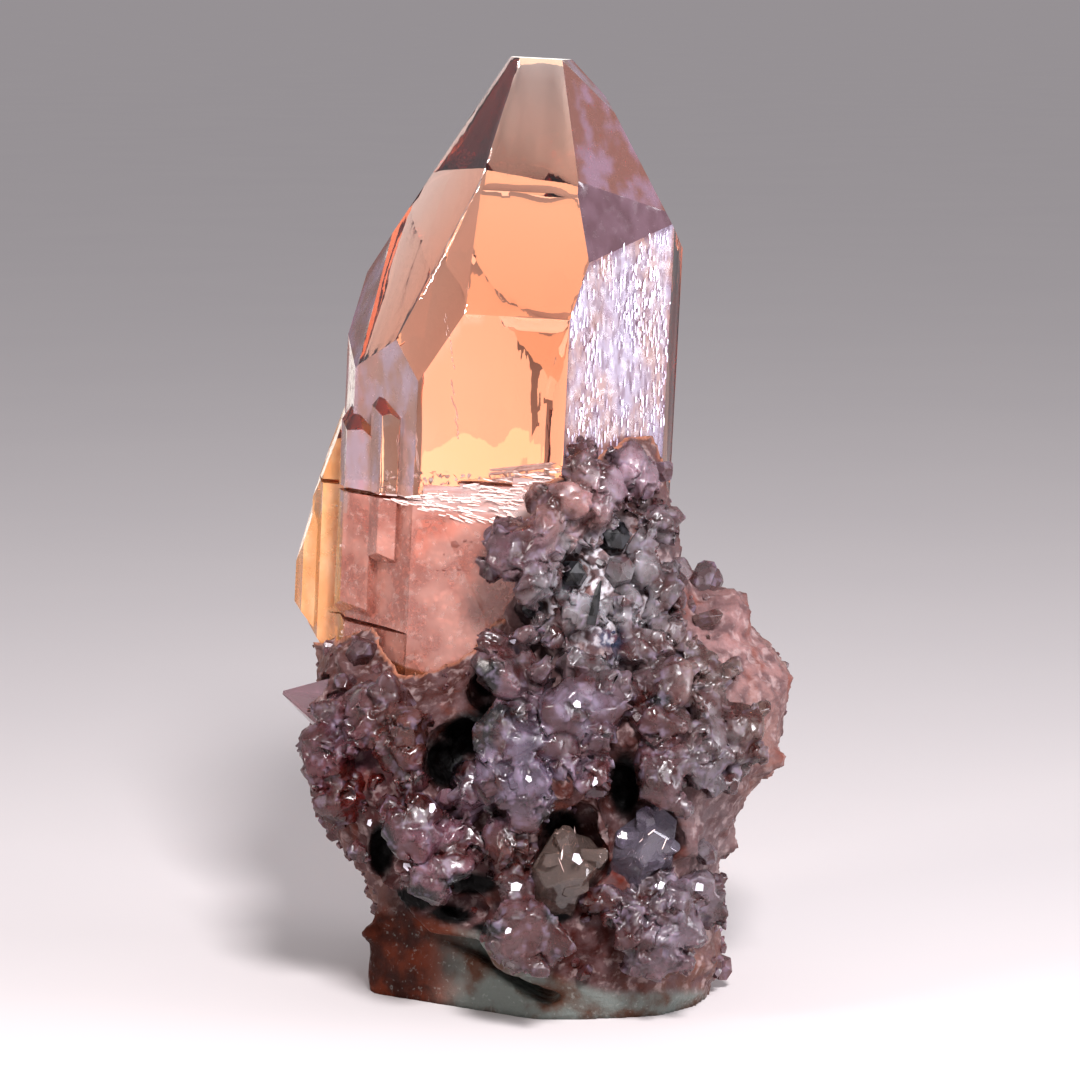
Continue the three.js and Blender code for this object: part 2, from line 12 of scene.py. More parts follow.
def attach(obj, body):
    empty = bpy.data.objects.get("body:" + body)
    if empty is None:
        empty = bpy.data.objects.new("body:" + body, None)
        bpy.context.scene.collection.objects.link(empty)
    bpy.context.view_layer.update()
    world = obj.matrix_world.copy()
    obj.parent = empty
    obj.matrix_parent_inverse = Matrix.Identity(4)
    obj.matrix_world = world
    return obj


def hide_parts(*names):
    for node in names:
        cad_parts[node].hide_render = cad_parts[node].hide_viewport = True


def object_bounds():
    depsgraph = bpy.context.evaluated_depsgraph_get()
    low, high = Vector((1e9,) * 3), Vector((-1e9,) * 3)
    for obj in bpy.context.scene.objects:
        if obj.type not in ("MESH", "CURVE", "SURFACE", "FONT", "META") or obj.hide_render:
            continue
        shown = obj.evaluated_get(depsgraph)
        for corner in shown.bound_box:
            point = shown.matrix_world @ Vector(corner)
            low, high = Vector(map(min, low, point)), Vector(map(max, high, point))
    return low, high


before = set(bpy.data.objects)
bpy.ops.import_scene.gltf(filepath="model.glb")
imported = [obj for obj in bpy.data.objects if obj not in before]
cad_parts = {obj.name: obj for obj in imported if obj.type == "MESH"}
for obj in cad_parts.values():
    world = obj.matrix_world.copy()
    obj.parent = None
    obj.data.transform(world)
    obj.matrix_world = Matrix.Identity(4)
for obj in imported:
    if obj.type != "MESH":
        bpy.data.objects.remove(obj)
cad_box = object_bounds()

# Sizes are in millimetres, in the frame's own axes, and meshes are scaled as they are made.
MM = 0.001
TAU = 2 * math.pi

# The specimen is drawn as it looks from the eye, by x and z on the plane y = 0 of its own axes,
# which lie this far from the frame's axes.
SHIFT = Vector((0.04, 1.01, 0))
EYE = Vector((0, -247.6, 63)) + SHIFT
AIM = Vector((0, 0, 28.2)) + SHIFT
LENS = 135
SENSOR = 36

# The main crystal's axis
CRYSTAL_AXIS_POINT = Vector((-2.0, 0.6, 32.5)) + SHIFT
CRYSTAL_LEAN = math.radians(2.8)
CRYSTAL_AXIS = Vector((math.sin(CRYSTAL_LEAN), 0, math.cos(CRYSTAL_LEAN)))

ROCK_VOXEL = 0.3
GUIDE_VOXEL = 0.8

# Larger crystals on the front: x and z as seen, width, and how far the tip turns right and up
FRONT_CRYSTALS = [
    (2.2, 17.4, 3.4, -0.3, 0.5),
    (3.0, 16.1, 2.2, 0.5, 0.2),
    (0.9, 15.7, 2.4, 0, 0.1),
    (-2.1, 15.4, 3.2, -0.4, 0.5),
    (-3.8, 12.8, 2.8, -0.6, -0.1),
    (-2.4, 12.6, 2.4, 0.2, -0.5),
    (-0.8, 13.1, 2.4, 0, -0.3),
    (1.5, 12.9, 3.0, 0.1, -0.6),
    (3.5, 13.6, 1.8, 0.5, 0),
    (-0.6, 11.1, 2.2, 0.2, -0.3),
    (-5.6, 15.3, 1.5, 0, 0),
    (-2.1, 19.9, 3.0, -0.8, -0.1),
    (-0.6, 17.8, 1.9, -0.2, -0.5),
    (4.9, 18.1, 2.4, 0.2, -0.2),
    (3.7, 19.1, 1.9, 0.3, 0.1),
    (7.4, 13.2, 2.5, -0.3, 0.1),
    (8.3, 14.1, 2.2, 0.3, 0.3),
    (7.2, 16.8, 2.4, 0, 0.2),
    (5.6, 15.6, 2.4, -0.2, -0.4),
    (7.8, 19.2, 2.7, 0.1, 0.3),
    (10.7, 19.8, 2.0, 0.3, 0.2),
    (9.6, 20.4, 1.8, 0, 0.4),
    (10.2, 13.4, 2.2, 0.2, -0.2),
    (10.2, 15.9, 2.2, 0.2, 0),
    (12.6, 16.5, 2.2, 0.2, 0.2),
    (12.1, 14.9, 1.8, 0.2, -0.2),
    (11.9, 13.2, 1.5, 0.2, -0.3),
    (6.0, 21.5, 1.8, 0.1, 0.2),
    (7.6, 22.6, 1.8, 0.3, 0.4),
    (-1.5, 27.5, 3.4, -0.7, 0),
    (1.2, 30.4, 3.2, -0.2, 0.4),
    (3.8, 31.5, 2.7, 0.1, 0.5),
    (5.6, 33.2, 2.0, 0.1, 0.6),
    (6.1, 32.0, 1.9, 0.3, 0.2),
    (6.9, 29.3, 1.8, 0.3, 0.3),
    (3.1, 29.4, 1.7, 0, 0.2),
    (0.8, 28.4, 1.5, -0.3, 0),
    (6.4, 26.6, 2.0, 0.3, 0.1),
    (0.3, 25.6, 1.6, -0.3, 0.1),
    (7.9, 25.0, 1.8, 0.4, 0.2),
    (5.3, 23.9, 1.6, 0.1, 0),
    (2.4, 23.6, 1.7, -0.2, -0.1),
    (0.7, 22.2, 1.5, -0.1, -0.2),
    (-11.0, 17.0, 2.7, 0, 0.7),
    (-8.3, 16.5, 2.7, 0.2, 0.5),
    (-9.1, 14.7, 1.9, 0, 0),
    (-13.3, 15.5, 2.2, -0.5, 0.1),
    (-13.6, 14.2, 2.0, -0.5, 0),
    (-12.0, 12.6, 1.8, -0.1, 0),
    (-12.9, 11.4, 1.8, -0.4, -0.1),
    (-7.8, 13.2, 1.3, 0.2, 0),
    (-7.7, 11.1, 2.2, 0, 0.6),
    (-5.4, 9.4, 1.8, 0, 0.2),
    (-4.3, 9.5, 1.2, 0.2, 0),
    (-8.3, 9.8, 2.2, -0.5, 0),
    (-8.3, 7.6, 1.8, -0.5, -0.3),
    (-7.0, 6.8, 2.2, -0.2, -0.5),
    (-5.8, 7.4, 2.2, 0, -0.2),
    (-2.1, 9.1, 2.5, 0, 0.3),
    (-0.2, 8.8, 2.2, 0.2, 0.1),
    (-2.0, 7.1, 1.8, 0, 0),
    (-1.1, 3.4, 3.4, -0.1, -0.2),
    (-0.8, 2.0, 1.8, 0.1, -0.5),
    (-2.3, 3.2, 1.8, -0.5, -0.2),
    (9.0, 9.1, 2.2, 0.4, 0.2),
    (7.5, 6.5, 1.5, 0, 0.5),
    (9.9, 6.3, 1.7, 0.3, 0.4),
    (7.5, 5.0, 1.5, 0, 0.2),
    (6.0, 3.3, 2.1, -0.3, 0),
    (6.2, 2.0, 1.8, -0.2, -0.3),
    (7.8, 1.8, 1.8, 0.1, -0.2),
    (8.8, 3.9, 1.8, 0.4, 0),
    (5.6, 5.0, 2.0, -0.4, 0.2),
    (8.7, 5.6, 2.0, 0.3, 0),
    (3.5, 5.6, 1.8, 0.2, -0.4),
    (10.4, 5.3, 2.2, 0.5, 0),
]

# Colours of the rock and of its crystals, by where they are seen: x, z, reach across, reach
# up and colour. Later ones lie over earlier ones.
ROCK_TINT = "#7b5f57"
ROCK_ZONES = [
    (0, 12, 30, 40, "#3a1c18"),
    (4, 26, 5.5, 6.5, "#5c5052"),
    (12.5, 20, 4.5, 6.5, "#8c6a68"),
    (13.5, 12, 3.5, 8, "#735650"),
    (9, 3, 4.5, 4.5, "#64443a"),
    (10.5, 11, 2, 8, "#655556"),
    (3, 3.5, 4, 3.5, "#340c06"),
    (4.5, 7, 1.6, 1.8, "#5a1d10"),
    (-9.5, 12, 3.5, 4.5, "#3c1512"),
    (-11.5, 15.5, 3, 3, "#5a3a42"),
    (-5.5, 6.5, 4, 2.5, "#4a2c2e"),
    (4.6, 21.7, 1.1, 1.3, "#22344f"),
]
CRYSTAL_TINT = "#855f62"
CRYSTAL_ZONES = [
    (4, 26, 5.5, 6.5, "#8f8688"),
    (1.6, 30.4, 3.5, 2.5, "#bf8c86"),
    (-1.4, 27.6, 2, 2, "#8f6570"),
    (5.5, 31.8, 2.2, 2.2, "#bd9aa8"),
    (-2, 14, 5, 4, "#8f7c94"),
    (2.4, 17.2, 3, 2, "#988499"),
    (8, 16, 3, 4, "#6c4147"),
    (12.5, 19, 4, 6, "#96766a"),
    (11, 11, 2.2, 8, "#85767c"),
    (-9, 15.8, 4.5, 2.6, "#78463a"),
    (-12.5, 14.5, 2, 3, "#7d4f64"),
    (-10.8, 12.2, 4.6, 4.2, "#6b1710"),
    (-6, 9, 3.5, 3.5, "#8b5d6a"),
    (-1.5, 8.5, 3, 2, "#6b3a33"),
    (-1, 4, 4, 3, "#7c5657"),
    (6.9, 4.5, 3.2, 3.6, "#9a8896"),
    (2.8, 4.4, 3.0, 3.4, "#4a0b05"),
    (4.6, 21.7, 1.0, 1.1, "#2c4468"),
]

# Breaks across the main crystal as seen, x and z: streaks fan out from the left to the right
BREAK_LEFT = Vector((-9.6, 0, 30.7))
BREAK_RIGHT_LOW = Vector((-2.6, 0, 28.7))
BREAK_RIGHT_HIGH = Vector((1.4, 0, 32.8))
BREAK_FLAKES = 1000
BREAK_DEPTH = 0.6

# Fine healed breaks under the front: how many, and between which heights and sides as seen
HAZE_FLAKES = 3500
HAZE_TOP = 32.5
HAZE_BOTTOM = 17.5
HAZE_LEFT = -12.5
HAZE_RIGHT = 3
HAZE_DEPTH = 0.6
FROST_FLAKES = 1500
CLEAR_BREAKS = 45

# Painted glints: small near-white plates on the front, turned towards the front, standing in for crystal faces that
# catch the light: x and z as seen, and size
PAINTED_GLINTS = [
    (2.3, 8.1, 0.8),
    (7.5, 6.4, 0.7),
    (9.9, 6.3, 0.8),
    (-6.7, 11.3, 0.7),
    (-1.5, 6.3, 0.8),
    (-0.7, 13.2, 0.5),
    (2.3, 17.9, 0.6),
    (3.4, 13.0, 0.6),
    (-10.6, 10.4, 0.5),
    (-8.3, 7.6, 0.6),
    (-1.7, 21.9, 0.7),
    (-15.0, 16.6, 0.7),
    (-2.0, 3.5, 0.5),
]
NEEDLE_TOP = Vector((3.9, 0, 26.3))
NEEDLE_FOOT = Vector((3.2, 0, 23.2))
CLUSTER_SMALL = 4
CLUSTER_GROWTH = 1.25

# The crystal is milky below the breaks, and browner below a line that falls to the right
MILKY_BELOW = 32.9
MILKY_RISE = 0.13
MILKY_BEHIND = 30.6
MILKY_FROM = -12.2
BAND_LEFT = -9.3
BAND_HEIGHT = 31.6
BAND_SPREAD = 0.19
BROWN_BELOW = 19.3
BROWN_FALL = 0.23

# Brown specks under the crystal's front as seen: x, z and size
SPECKS = [
    (-5.25, 27.94, 0.65),
    (-4.63, 28.15, 0.3),
    (-4.26, 28.09, 0.2),
    (-5.94, 27.3, 0.14),
    (-5.0, 26.4, 0.35),
    (-5.94, 26.33, 0.3),
    (-6.36, 26.3, 0.14),
    (-7.6, 25.65, 0.2),
    (-5.06, 18.68, 0.3),
]

# Bright threads: from x, z to x, z as seen, how many flakes and their length
THREADS = [
    (-5.6, 42.0, -5.2, 38.6, 9, 0.4),
    (-5.4, 38.0, -4.9, 34.4, 12, 0.5),
    (-12.8, 22.3, -6.9, 20.9, 22, 0.5),
    (-2.8, 32.35, 0.6, 32.8, 26, 1.1),
    (-2.6, 32.6, 0.8, 33.0, 16, 1.1),
    (-8.5, 34.4, -8.4, 32.4, 8, 1.2),
    (-8.1, 34.8, -8.0, 31.6, 12, 1.2),
    (-7.7, 34.6, -7.6, 32.8, 8, 1.2),
    (-11.6, 22.0, -11.3, 21.6, 2, 0.5),
    (-9.6, 25.3, -9.4, 25.1, 2, 0.4),
    (-6.8, 24.4, -6.6, 24.2, 2, 0.4),
]

# Deep pockets as seen, painted near black as shade on the rock and on the crystals in them: x, z, half width, half
# height
POCKETS = [
    (-5.9, 14.2, 1.5, 1.9),
    (-4.4, 16.0, 1.9, 1.5),
    (-2.6, 17.3, 1.6, 0.8),
    (-3.3, 19.6, 0.9, 1.4),
    (5.3, 12.8, 1.1, 2.3),
    (1.2, 10.4, 1.4, 0.9),
    (-9.9, 8.7, 0.9, 1.9),
    (-4.3, 6.5, 1.9, 0.8),
    (-8.0, 5.5, 1.7, 0.9),
    (-5.6, 4.5, 1.6, 0.7),
    (-3.2, 3.6, 1.2, 0.5),
    (1.2, 4.6, 1.0, 0.7),
    (7.5, 18.2, 0.9, 0.4),
]


def tint(code):
    """A colour in Blender's linear light from its hex code."""
    parts = [int(code[i : i + 2], 16) / 255 for i in (1, 3, 5)]
    return [p / 12.92 if p < 0.04045 else ((p + 0.055) / 1.055) ** 2.4 for p in parts]


def smooth_step(value, low, high):
    share = np.clip((value - low) / (high - low), 0, 1)
    return share * share * (3 - 2 * share)


def seen_places(points):
    """Where points are seen on the plane y = 0 of the specimen's own axes, as x and z."""
    share = EYE.y - SHIFT.y
    depth = points[:, 1] - SHIFT.y
    scale = share / (share - depth)
    x = (points[:, 0] - SHIFT.x) * scale
    z = EYE.z + (points[:, 2] - EYE.z) * scale
    return x, z


def zone_colours(points, base, zones):
    """Colours of points on the front, from soft patches laid over a base colour."""
    x, z = seen_places(points)
    front = 1 - smooth_step(points[:, 1], -3, 3)
    colours = np.tile(np.array(tint(base)), (len(points), 1))
    for centre_x, centre_z, across, up, code in zones:
        far = ((x - centre_x) / across) ** 2 + ((z - centre_z) / up) ** 2
        weight = (front * np.exp(-(far**1.5)))[:, None]
        colours = colours * (1 - weight) + np.array(tint(code)) * weight
    return colours


def in_pockets(points):
    """How deep each point is seen in the pockets painted black as shade, from 0 to 1."""
    x, z = seen_places(points)
    front = 1 - smooth_step(points[:, 1], -3, 1)
    deepest = np.zeros(len(points))
    for centre_x, centre_z, half_x, half_z in POCKETS:
        far = ((x - centre_x) / half_x) ** 2 + ((z - centre_z) / half_z) ** 2
        deepest = np.maximum(deepest, 1 - smooth_step(far, 0.5, 1.3))
    return deepest * front


# Top of the smooth base slab as seen: x and z
SLAB_TOP = np.array([(-18, 5.2), (-8.2, 4.8), (-6.2, 3.9), (-3.7, 3.1), (-1.2, 1.6), (1, 0.5), (4, -0.5)])


def on_slab(points):
    x, z = seen_places(points)
    top = np.interp(x, SLAB_TOP[:, 0], SLAB_TOP[:, 1])
    return 1 - smooth_step(z, top - 0.3, top + 0.3)


def crust_share(points):
    """How much white powder lies in the hollows of the crust that climbs the crystal."""
    x, z = seen_places(points)
    near = np.exp(-(((x - 3.6) / 3.6) ** 2 + ((z - 25.2) / 4.2) ** 2) ** 2)
    return near * (points[:, 1] < 0)


def corners_of(mesh):
    corners = np.empty(len(mesh.vertices) * 3)
    mesh.vertices.foreach_get("co", corners)
    return corners.reshape(-1, 3) / MM


def normals_of(mesh):
    normals = np.empty(len(mesh.vertices) * 3)
    mesh.vertices.foreach_get("normal", normals)
    return normals.reshape(-1, 3)


def tree_of(mesh):
    return BVHTree.FromPolygons(corners_of(mesh).tolist(), [tuple(p.vertices) for p in mesh.polygons])


def paint(mesh, name, colours):
    """Stores a colour for each corner point, for the material to read."""
    layer = mesh.color_attributes.new(name, "FLOAT_COLOR", "POINT")
    full = np.ones((len(colours), 4))
    full[:, :3] = colours
    layer.data.foreach_set("color", full.ravel())


def mark(mesh, name, values):
    """Stores a number for each corner point, for the material to read."""
    layer = mesh.attributes.new(name, "FLOAT", "POINT")
    layer.data.foreach_set("value", np.asarray(values, dtype=float))


def add_piece(name, mesh, material):
    piece = bpy.data.objects.new(name, mesh)
    bpy.context.scene.collection.objects.link(piece)
    mesh.materials.clear()
    mesh.materials.append(material)
    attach(piece, "root")
    return piece


def mesh_from(name, corners, faces):
    mesh = bpy.data.meshes.new(name)
    mesh.from_pydata((np.asarray(corners) * MM).tolist(), [], faces)
    mesh.validate()
    return mesh


def remeshed(mesh, voxel, smoothing):
    """The same form made of small even faces, smoothed this many times."""
    stand_in = bpy.data.objects.new("remesh", mesh.copy())
    bpy.context.scene.collection.objects.link(stand_in)
    even = stand_in.modifiers.new("even", "REMESH")
    even.mode = "VOXEL"
    even.voxel_size = voxel * MM
    soft = stand_in.modifiers.new("soft", "SMOOTH")
    soft.factor = 0.5
    soft.iterations = smoothing
    ready = stand_in.evaluated_get(bpy.context.evaluated_depsgraph_get())
    result = bpy.data.meshes.new_from_object(ready)
    bpy.data.objects.remove(stand_in)
    return result


def node_mesh(name):
    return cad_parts[name].data


def inside_box(corners, margin=0.02):
    low = np.array(cad_box[0]) / MM + margin
    high = np.array(cad_box[1]) / MM - margin
    low[2] = 0
    return np.clip(corners, low, high)


# Materials


class Nodes:
    """A material's node tree, with short calls for its nodes and links."""

    def __init__(self, name):
        self.material = bpy.data.materials.new(name)
        self.material.use_nodes = True
        self.tree = self.material.node_tree
        self.shader = self.tree.nodes["Principled BSDF"]
        self.output = self.tree.nodes["Material Output"]
        self.place = self.add("ShaderNodeTexCoord").outputs["Object"]

    def add(self, kind, **values):
        node = self.tree.nodes.new(kind)
        for key, value in values.items():
            setattr(node, key, value)
        return node

    def link(self, source, target):
        self.tree.links.new(source, target)

    def set(self, **values):
        for key, value in values.items():
            self.shader.inputs[key.replace("_", " ")].default_value = value

    def noise(self, size, detail=3, stretch=(1, 1, 1), distortion=0):
        """Soft noise whose patches are about size millimetres across."""
        mapping = self.add("ShaderNodeMapping")
        mapping.inputs["Scale"].default_value = [1 / (size * MM * s) for s in stretch]
        self.link(self.place, mapping.inputs["Vector"])
        texture = self.add("ShaderNodeTexNoise")
        texture.inputs["Scale"].default_value = 1
        texture.inputs["Detail"].default_value = detail
        texture.inputs["Distortion"].default_value = distortion
        self.link(mapping.outputs["Vector"], texture.inputs["Vector"])
        return texture.outputs["Fac"]

    def cells(self, size, feature="DISTANCE_TO_EDGE"):
        texture = self.add("ShaderNodeTexVoronoi", feature=feature)
        texture.inputs["Scale"].default_value = 1 / (size * MM)
        self.link(self.place, texture.inputs["Vector"])
        return texture.outputs["Distance"]

    def attribute(self, name, output="Fac"):
        return self.add("ShaderNodeAttribute", attribute_name=name).outputs[output]

    def ranged(self, value, low, high, to_low=0.0, to_high=1.0):
        node = self.add("ShaderNodeMapRange", interpolation_type="SMOOTHSTEP")
        self.link(value, node.inputs["Value"])
        node.inputs["From Min"].default_value = low
        node.inputs["From Max"].default_value = high
        node.inputs["To Min"].default_value = to_low
        node.inputs["To Max"].default_value = to_high
        return node.outputs["Result"]

    def math(self, operation, first, second):
        node = self.add("ShaderNodeMath", operation=operation)
        for socket, value in zip(node.inputs, (first, second)):
            if isinstance(value, (int, float)):
                socket.default_value = value
            else:
                self.link(value, socket)
        return node.outputs["Value"]

    def mixed(self, share, first, second, blend="MIX"):
        node = self.add("ShaderNodeMix", data_type="RGBA", blend_type=blend)
        for socket, value in ((node.inputs[0], share), (node.inputs[6], first), (node.inputs[7], second)):
            if isinstance(value, str):
                socket.default_value = (*tint(value), 1)
            elif isinstance(value, (int, float)):
                socket.default_value = value
            else:
                self.link(value, socket)
        return node.outputs[2]

    def bump(self, height, strength, distance):
        node = self.add("ShaderNodeBump")
        node.inputs["Strength"].default_value = strength
        node.inputs["Distance"].default_value = distance * MM
        self.link(height, node.inputs["Height"])
        self.link(node.outputs["Normal"], self.shader.inputs["Normal"])

    def absorb(self, colour, density):
        node = self.add("ShaderNodeVolumeAbsorption")
        node.inputs["Color"].default_value = (*colour, 1)
        node.inputs["Density"].default_value = density
        self.link(node.outputs["Volume"], self.output.inputs["Volume"])


def topaz_material(name, transmission, smoothest, roughest):
    nodes = Nodes(name)
    nodes.set(Base_Color=(1, 0.975, 0.96, 1), Transmission_Weight=transmission, IOR=1.62)
    dull = nodes.ranged(nodes.noise(0.5, 4), 0.35, 0.7, smoothest, roughest)
    nodes.link(dull, nodes.shader.inputs["Roughness"])
    nodes.bump(nodes.noise(0.7, 3, (1, 1, 6)), 0.08, 0.1)
    nodes.absorb((0.92, 0.44, 0.16), 135.0)
    return nodes


def clear_topaz():
    return topaz_material("topaz", 1.0, 0.0, 0.03).material


def milky_topaz():
    """The clouded root of the crystal: pink, with a browner zone below a slanting line."""
    nodes = topaz_material("topaz_root", 0.6, 0.12, 0.3)
    place = nodes.add("ShaderNodeSeparateXYZ")
    nodes.link(nodes.place, place.inputs[0])
    height = nodes.math("ADD", place.outputs["Z"], nodes.math("MULTIPLY", place.outputs["X"], BROWN_FALL))
    pink = nodes.mixed(nodes.ranged(nodes.noise(2.2, 5), 0.35, 0.65), "#e7a391", "#bf7868")
    grained = nodes.mixed(nodes.ranged(nodes.noise(0.5, 5), 0.5, 0.68, 0, 0.4), pink, "#f0c4b8")
    above = nodes.ranged(height, (BROWN_BELOW - 0.1) * MM, (BROWN_BELOW + 0.1) * MM)
    brown = nodes.mixed(nodes.ranged(nodes.noise(1.4, 4), 0.35, 0.65), "#a8623f", "#8a4a34")
    zoned = nodes.mixed(above, brown, grained)
    reach = nodes.math("SUBTRACT", place.outputs["X"], BAND_LEFT * MM)
    half = nodes.math("ADD", nodes.math("MULTIPLY", reach, BAND_SPREAD), 0.2 * MM)
    off = nodes.math("ABSOLUTE", nodes.math("SUBTRACT", place.outputs["Z"], BAND_HEIGHT * MM), 0)
    band = nodes.ranged(nodes.math("DIVIDE", off, half), 0.5, 1.1, 1, 0)
    streaks = nodes.ranged(nodes.noise(0.6, 5, (4, 4, 0.6)), 0.35, 0.6, 0.35, 1)
    inside = nodes.math("MULTIPLY", nodes.math("GREATER_THAN", reach, 0), streaks)
    share = nodes.math("MULTIPLY", band, inside)
    nodes.link(nodes.mixed(share, zoned, "#fae0da"), nodes.shader.inputs["Base Color"])
    return nodes.material


def veiled_topaz(name, transmission, light, dark):
    """A face with a thin frosting: duller, with paler flecks. Also used with set colours for a face darkened as painted
    shade and for a painted edge highlight.
    """
    nodes = topaz_material(name, transmission, 0.08, 0.3)
    patch = nodes.ranged(nodes.noise(1.3, 5, (1, 1, 1.6)), 0.4, 0.65)
    nodes.link(nodes.mixed(patch, dark, light), nodes.shader.inputs["Base Color"])
    return nodes.material


def frosted_topaz():
    """The etched face: lavender white, clearer in patches."""
    nodes = topaz_material("topaz_frosted", 0.66, 0.2, 0.5)
    patch = nodes.ranged(nodes.noise(2.4, 5, (1, 1, 2)), 0.4, 0.58)
    tone = nodes.mixed(patch, "#c99c95", "#cdbfdb")
    streaked = nodes.mixed(nodes.ranged(nodes.noise(0.35, 4, (1, 1, 4)), 0.48, 0.62, 0, 0.8), tone, "#93718a")
    nodes.link(streaked, nodes.shader.inputs["Base Color"])
    nodes.bump(nodes.noise(0.3, 4, (1, 1, 4)), 0.5, 0.06)
    return nodes.material


def druse_material(name, transmission, shine=0.22):
    """Small quartz crystals: a tint of their own, half clear, with brighter and duller faces."""
    nodes = Nodes(name)
    nodes.set(Transmission_Weight=transmission, IOR=1.54, Specular_IOR_Level=0.36)
    nodes.set(Subsurface_Weight=0.4, Subsurface_Scale=0.8 * MM, Subsurface_Radius=(1.0, 0.55, 0.6))
    own = nodes.attribute("tint", "Color")
    clouded = nodes.mixed(nodes.ranged(nodes.noise(0.7, 4), 0.52, 0.7, 0, 0.32), own, "#b5a2c0")
    stained = nodes.mixed(nodes.ranged(nodes.noise(1.7, 4), 0.48, 0.64, 0, 0.8), clouded, "#43150f")
    nodes.link(stained, nodes.shader.inputs["Base Color"])
    dull = nodes.ranged(nodes.noise(0.7, 4), 0.42, 0.62, shine, shine + 0.3)
    nodes.link(dull, nodes.shader.inputs["Roughness"])
    nodes.bump(nodes.noise(0.35, 4), 0.25, 0.06)
    return nodes.material


def clear_material(name, colour, density, tone):
    nodes = Nodes(name)
    nodes.set(Base_Color=(*tint(tone), 1), Transmission_Weight=0.85, IOR=1.54)
    nodes.link(nodes.ranged(nodes.noise(0.5, 4), 0.4, 0.7, 0.0, 0.05), nodes.shader.inputs["Roughness"])
    nodes.bump(nodes.noise(0.35, 3, (1, 1, 3)), 0.25, 0.04)
    nodes.absorb(colour, density)
    return nodes.material


def black_material():
    nodes = Nodes("black_crystal")
    nodes.set(Specular_IOR_Level=0.5)
    patch = nodes.noise(0.5, 4)
    nodes.link(nodes.mixed(nodes.ranged(patch, 0.4, 0.7), "#040405", "#16161b"), nodes.shader.inputs["Base Color"])
    nodes.link(nodes.ranged(patch, 0.35, 0.65, 0.2, 0.5), nodes.shader.inputs["Roughness"])
    nodes.bump(nodes.noise(0.2, 3), 0.3, 0.04)
    return nodes.material


def rock_material():
    """Granular host rock: zone colours, dark grains, a white chalky net, a smoother slab, painted shade that turns the
    deep pockets near black, and painted light round the crystal's foot.
    """
    nodes = Nodes("matrix")
    nodes.set(Specular_IOR_Level=0.08)
    own = nodes.attribute("tint", "Color")
    dull = nodes.mixed(nodes.ranged(nodes.noise(1.1, 5), 0.35, 0.7), own, "#543e3e")
    grained = nodes.mixed(nodes.ranged(nodes.noise(0.7, 6), 0.5, 0.68, 0, 0.35), dull, "#b9a3a0")
    rusty = nodes.mixed(nodes.ranged(nodes.noise(2.4, 4), 0.56, 0.7, 0, 0.5), grained, "#6b3322")
    net = nodes.ranged(nodes.cells(0.9), 0.02, 0.2, 1, 0)
    broken = nodes.math("MULTIPLY", net, nodes.ranged(nodes.noise(0.5, 4), 0.35, 0.55))
    chalk = nodes.math("MULTIPLY", broken, nodes.attribute("chalk"))
    white = nodes.mixed(chalk, rusty, "#bdb8bc")
    # Painted shade: the rock turns near black in the deep pockets
    dark = nodes.mixed(nodes.attribute("shaded_pocket"), white, "#020101")
    slab_tone = nodes.mixed(nodes.ranged(nodes.noise(2.5, 5), 0.45, 0.65), "#666b66", "#4c3226")
    rusted = nodes.mixed(nodes.ranged(nodes.noise(1.8, 5), 0.35, 0.65), "#5b2716", "#2c130d")
    slab = nodes.mixed(nodes.attribute("rust"), slab_tone, rusted)
    speckled = nodes.mixed(nodes.ranged(nodes.noise(0.3, 3), 0.6, 0.72, 0, 0.2), slab, "#a8aca6")
    colour = nodes.mixed(nodes.attribute("slab"), dark, speckled)
    # Painted light: the rock where the crystal's foot sits close under it is lightened to pale pink-brown, standing in
    # for light passing through the crystal
    grown = nodes.mixed(nodes.attribute("socket"), colour, "#a56c55")
    nodes.link(grown, nodes.shader.inputs["Base Color"])
    nodes.link(nodes.ranged(nodes.noise(0.5, 4), 0.35, 0.7, 0.35, 0.85), nodes.shader.inputs["Roughness"])
    nodes.bump(nodes.noise(0.22, 5), 0.6, 0.12)
    nodes.set(Subsurface_Weight=0.15, Subsurface_Scale=0.6 * MM, Subsurface_Radius=(1.0, 0.5, 0.4))
    return nodes.material


def flake_material(name, light, dark, metallic, rough):
    """Thin breaks and pits that throw the light back."""
    nodes = Nodes(name)
    nodes.set(Metallic=metallic)
    nodes.link(nodes.mixed(nodes.noise(0.6), light, dark), nodes.shader.inputs["Base Color"])
    nodes.link(nodes.ranged(nodes.noise(0.4), 0.3, 0.7, rough, rough + 0.25), nodes.shader.inputs["Roughness"])
    return nodes.material


def floor_material():
    nodes = Nodes("floor")
    nodes.link(nodes.mixed(nodes.noise(40), "#d2cdcb", "#cec9c8"), nodes.shader.inputs["Base Color"])
    nodes.set(Roughness=0.9, Specular_IOR_Level=0.0)
    return nodes.material


# The main crystal

SLICE_ACROSS = 0.32
SLICE_ALONG = 0.8
FROSTED_LOOKS = math.radians(39.3)
FROSTED = Vector((math.sin(FROSTED_LOOKS), -math.cos(FROSTED_LOOKS), 0))


def slice_face(bm, side, index, normal, along, spacing, offset):
    """Cuts one face of the crystal into strips that lie square to a direction."""
    across = along
    verts = {v for f in bm.faces if f[side] == index for v in f.verts}
    places = [v.co.dot(across) for v in verts]
    place = min(places) + offset
    while place < max(places):
        faces = [f for f in bm.faces if f[side] == index]
        edges = {e for f in faces for e in f.edges}
        corners = {v for f in faces for v in f.verts}
        bmesh.ops.bisect_plane(
            bm, geom=[*faces, *edges, *corners], dist=1e-4, plane_co=across * place, plane_no=across
        )
        place += spacing


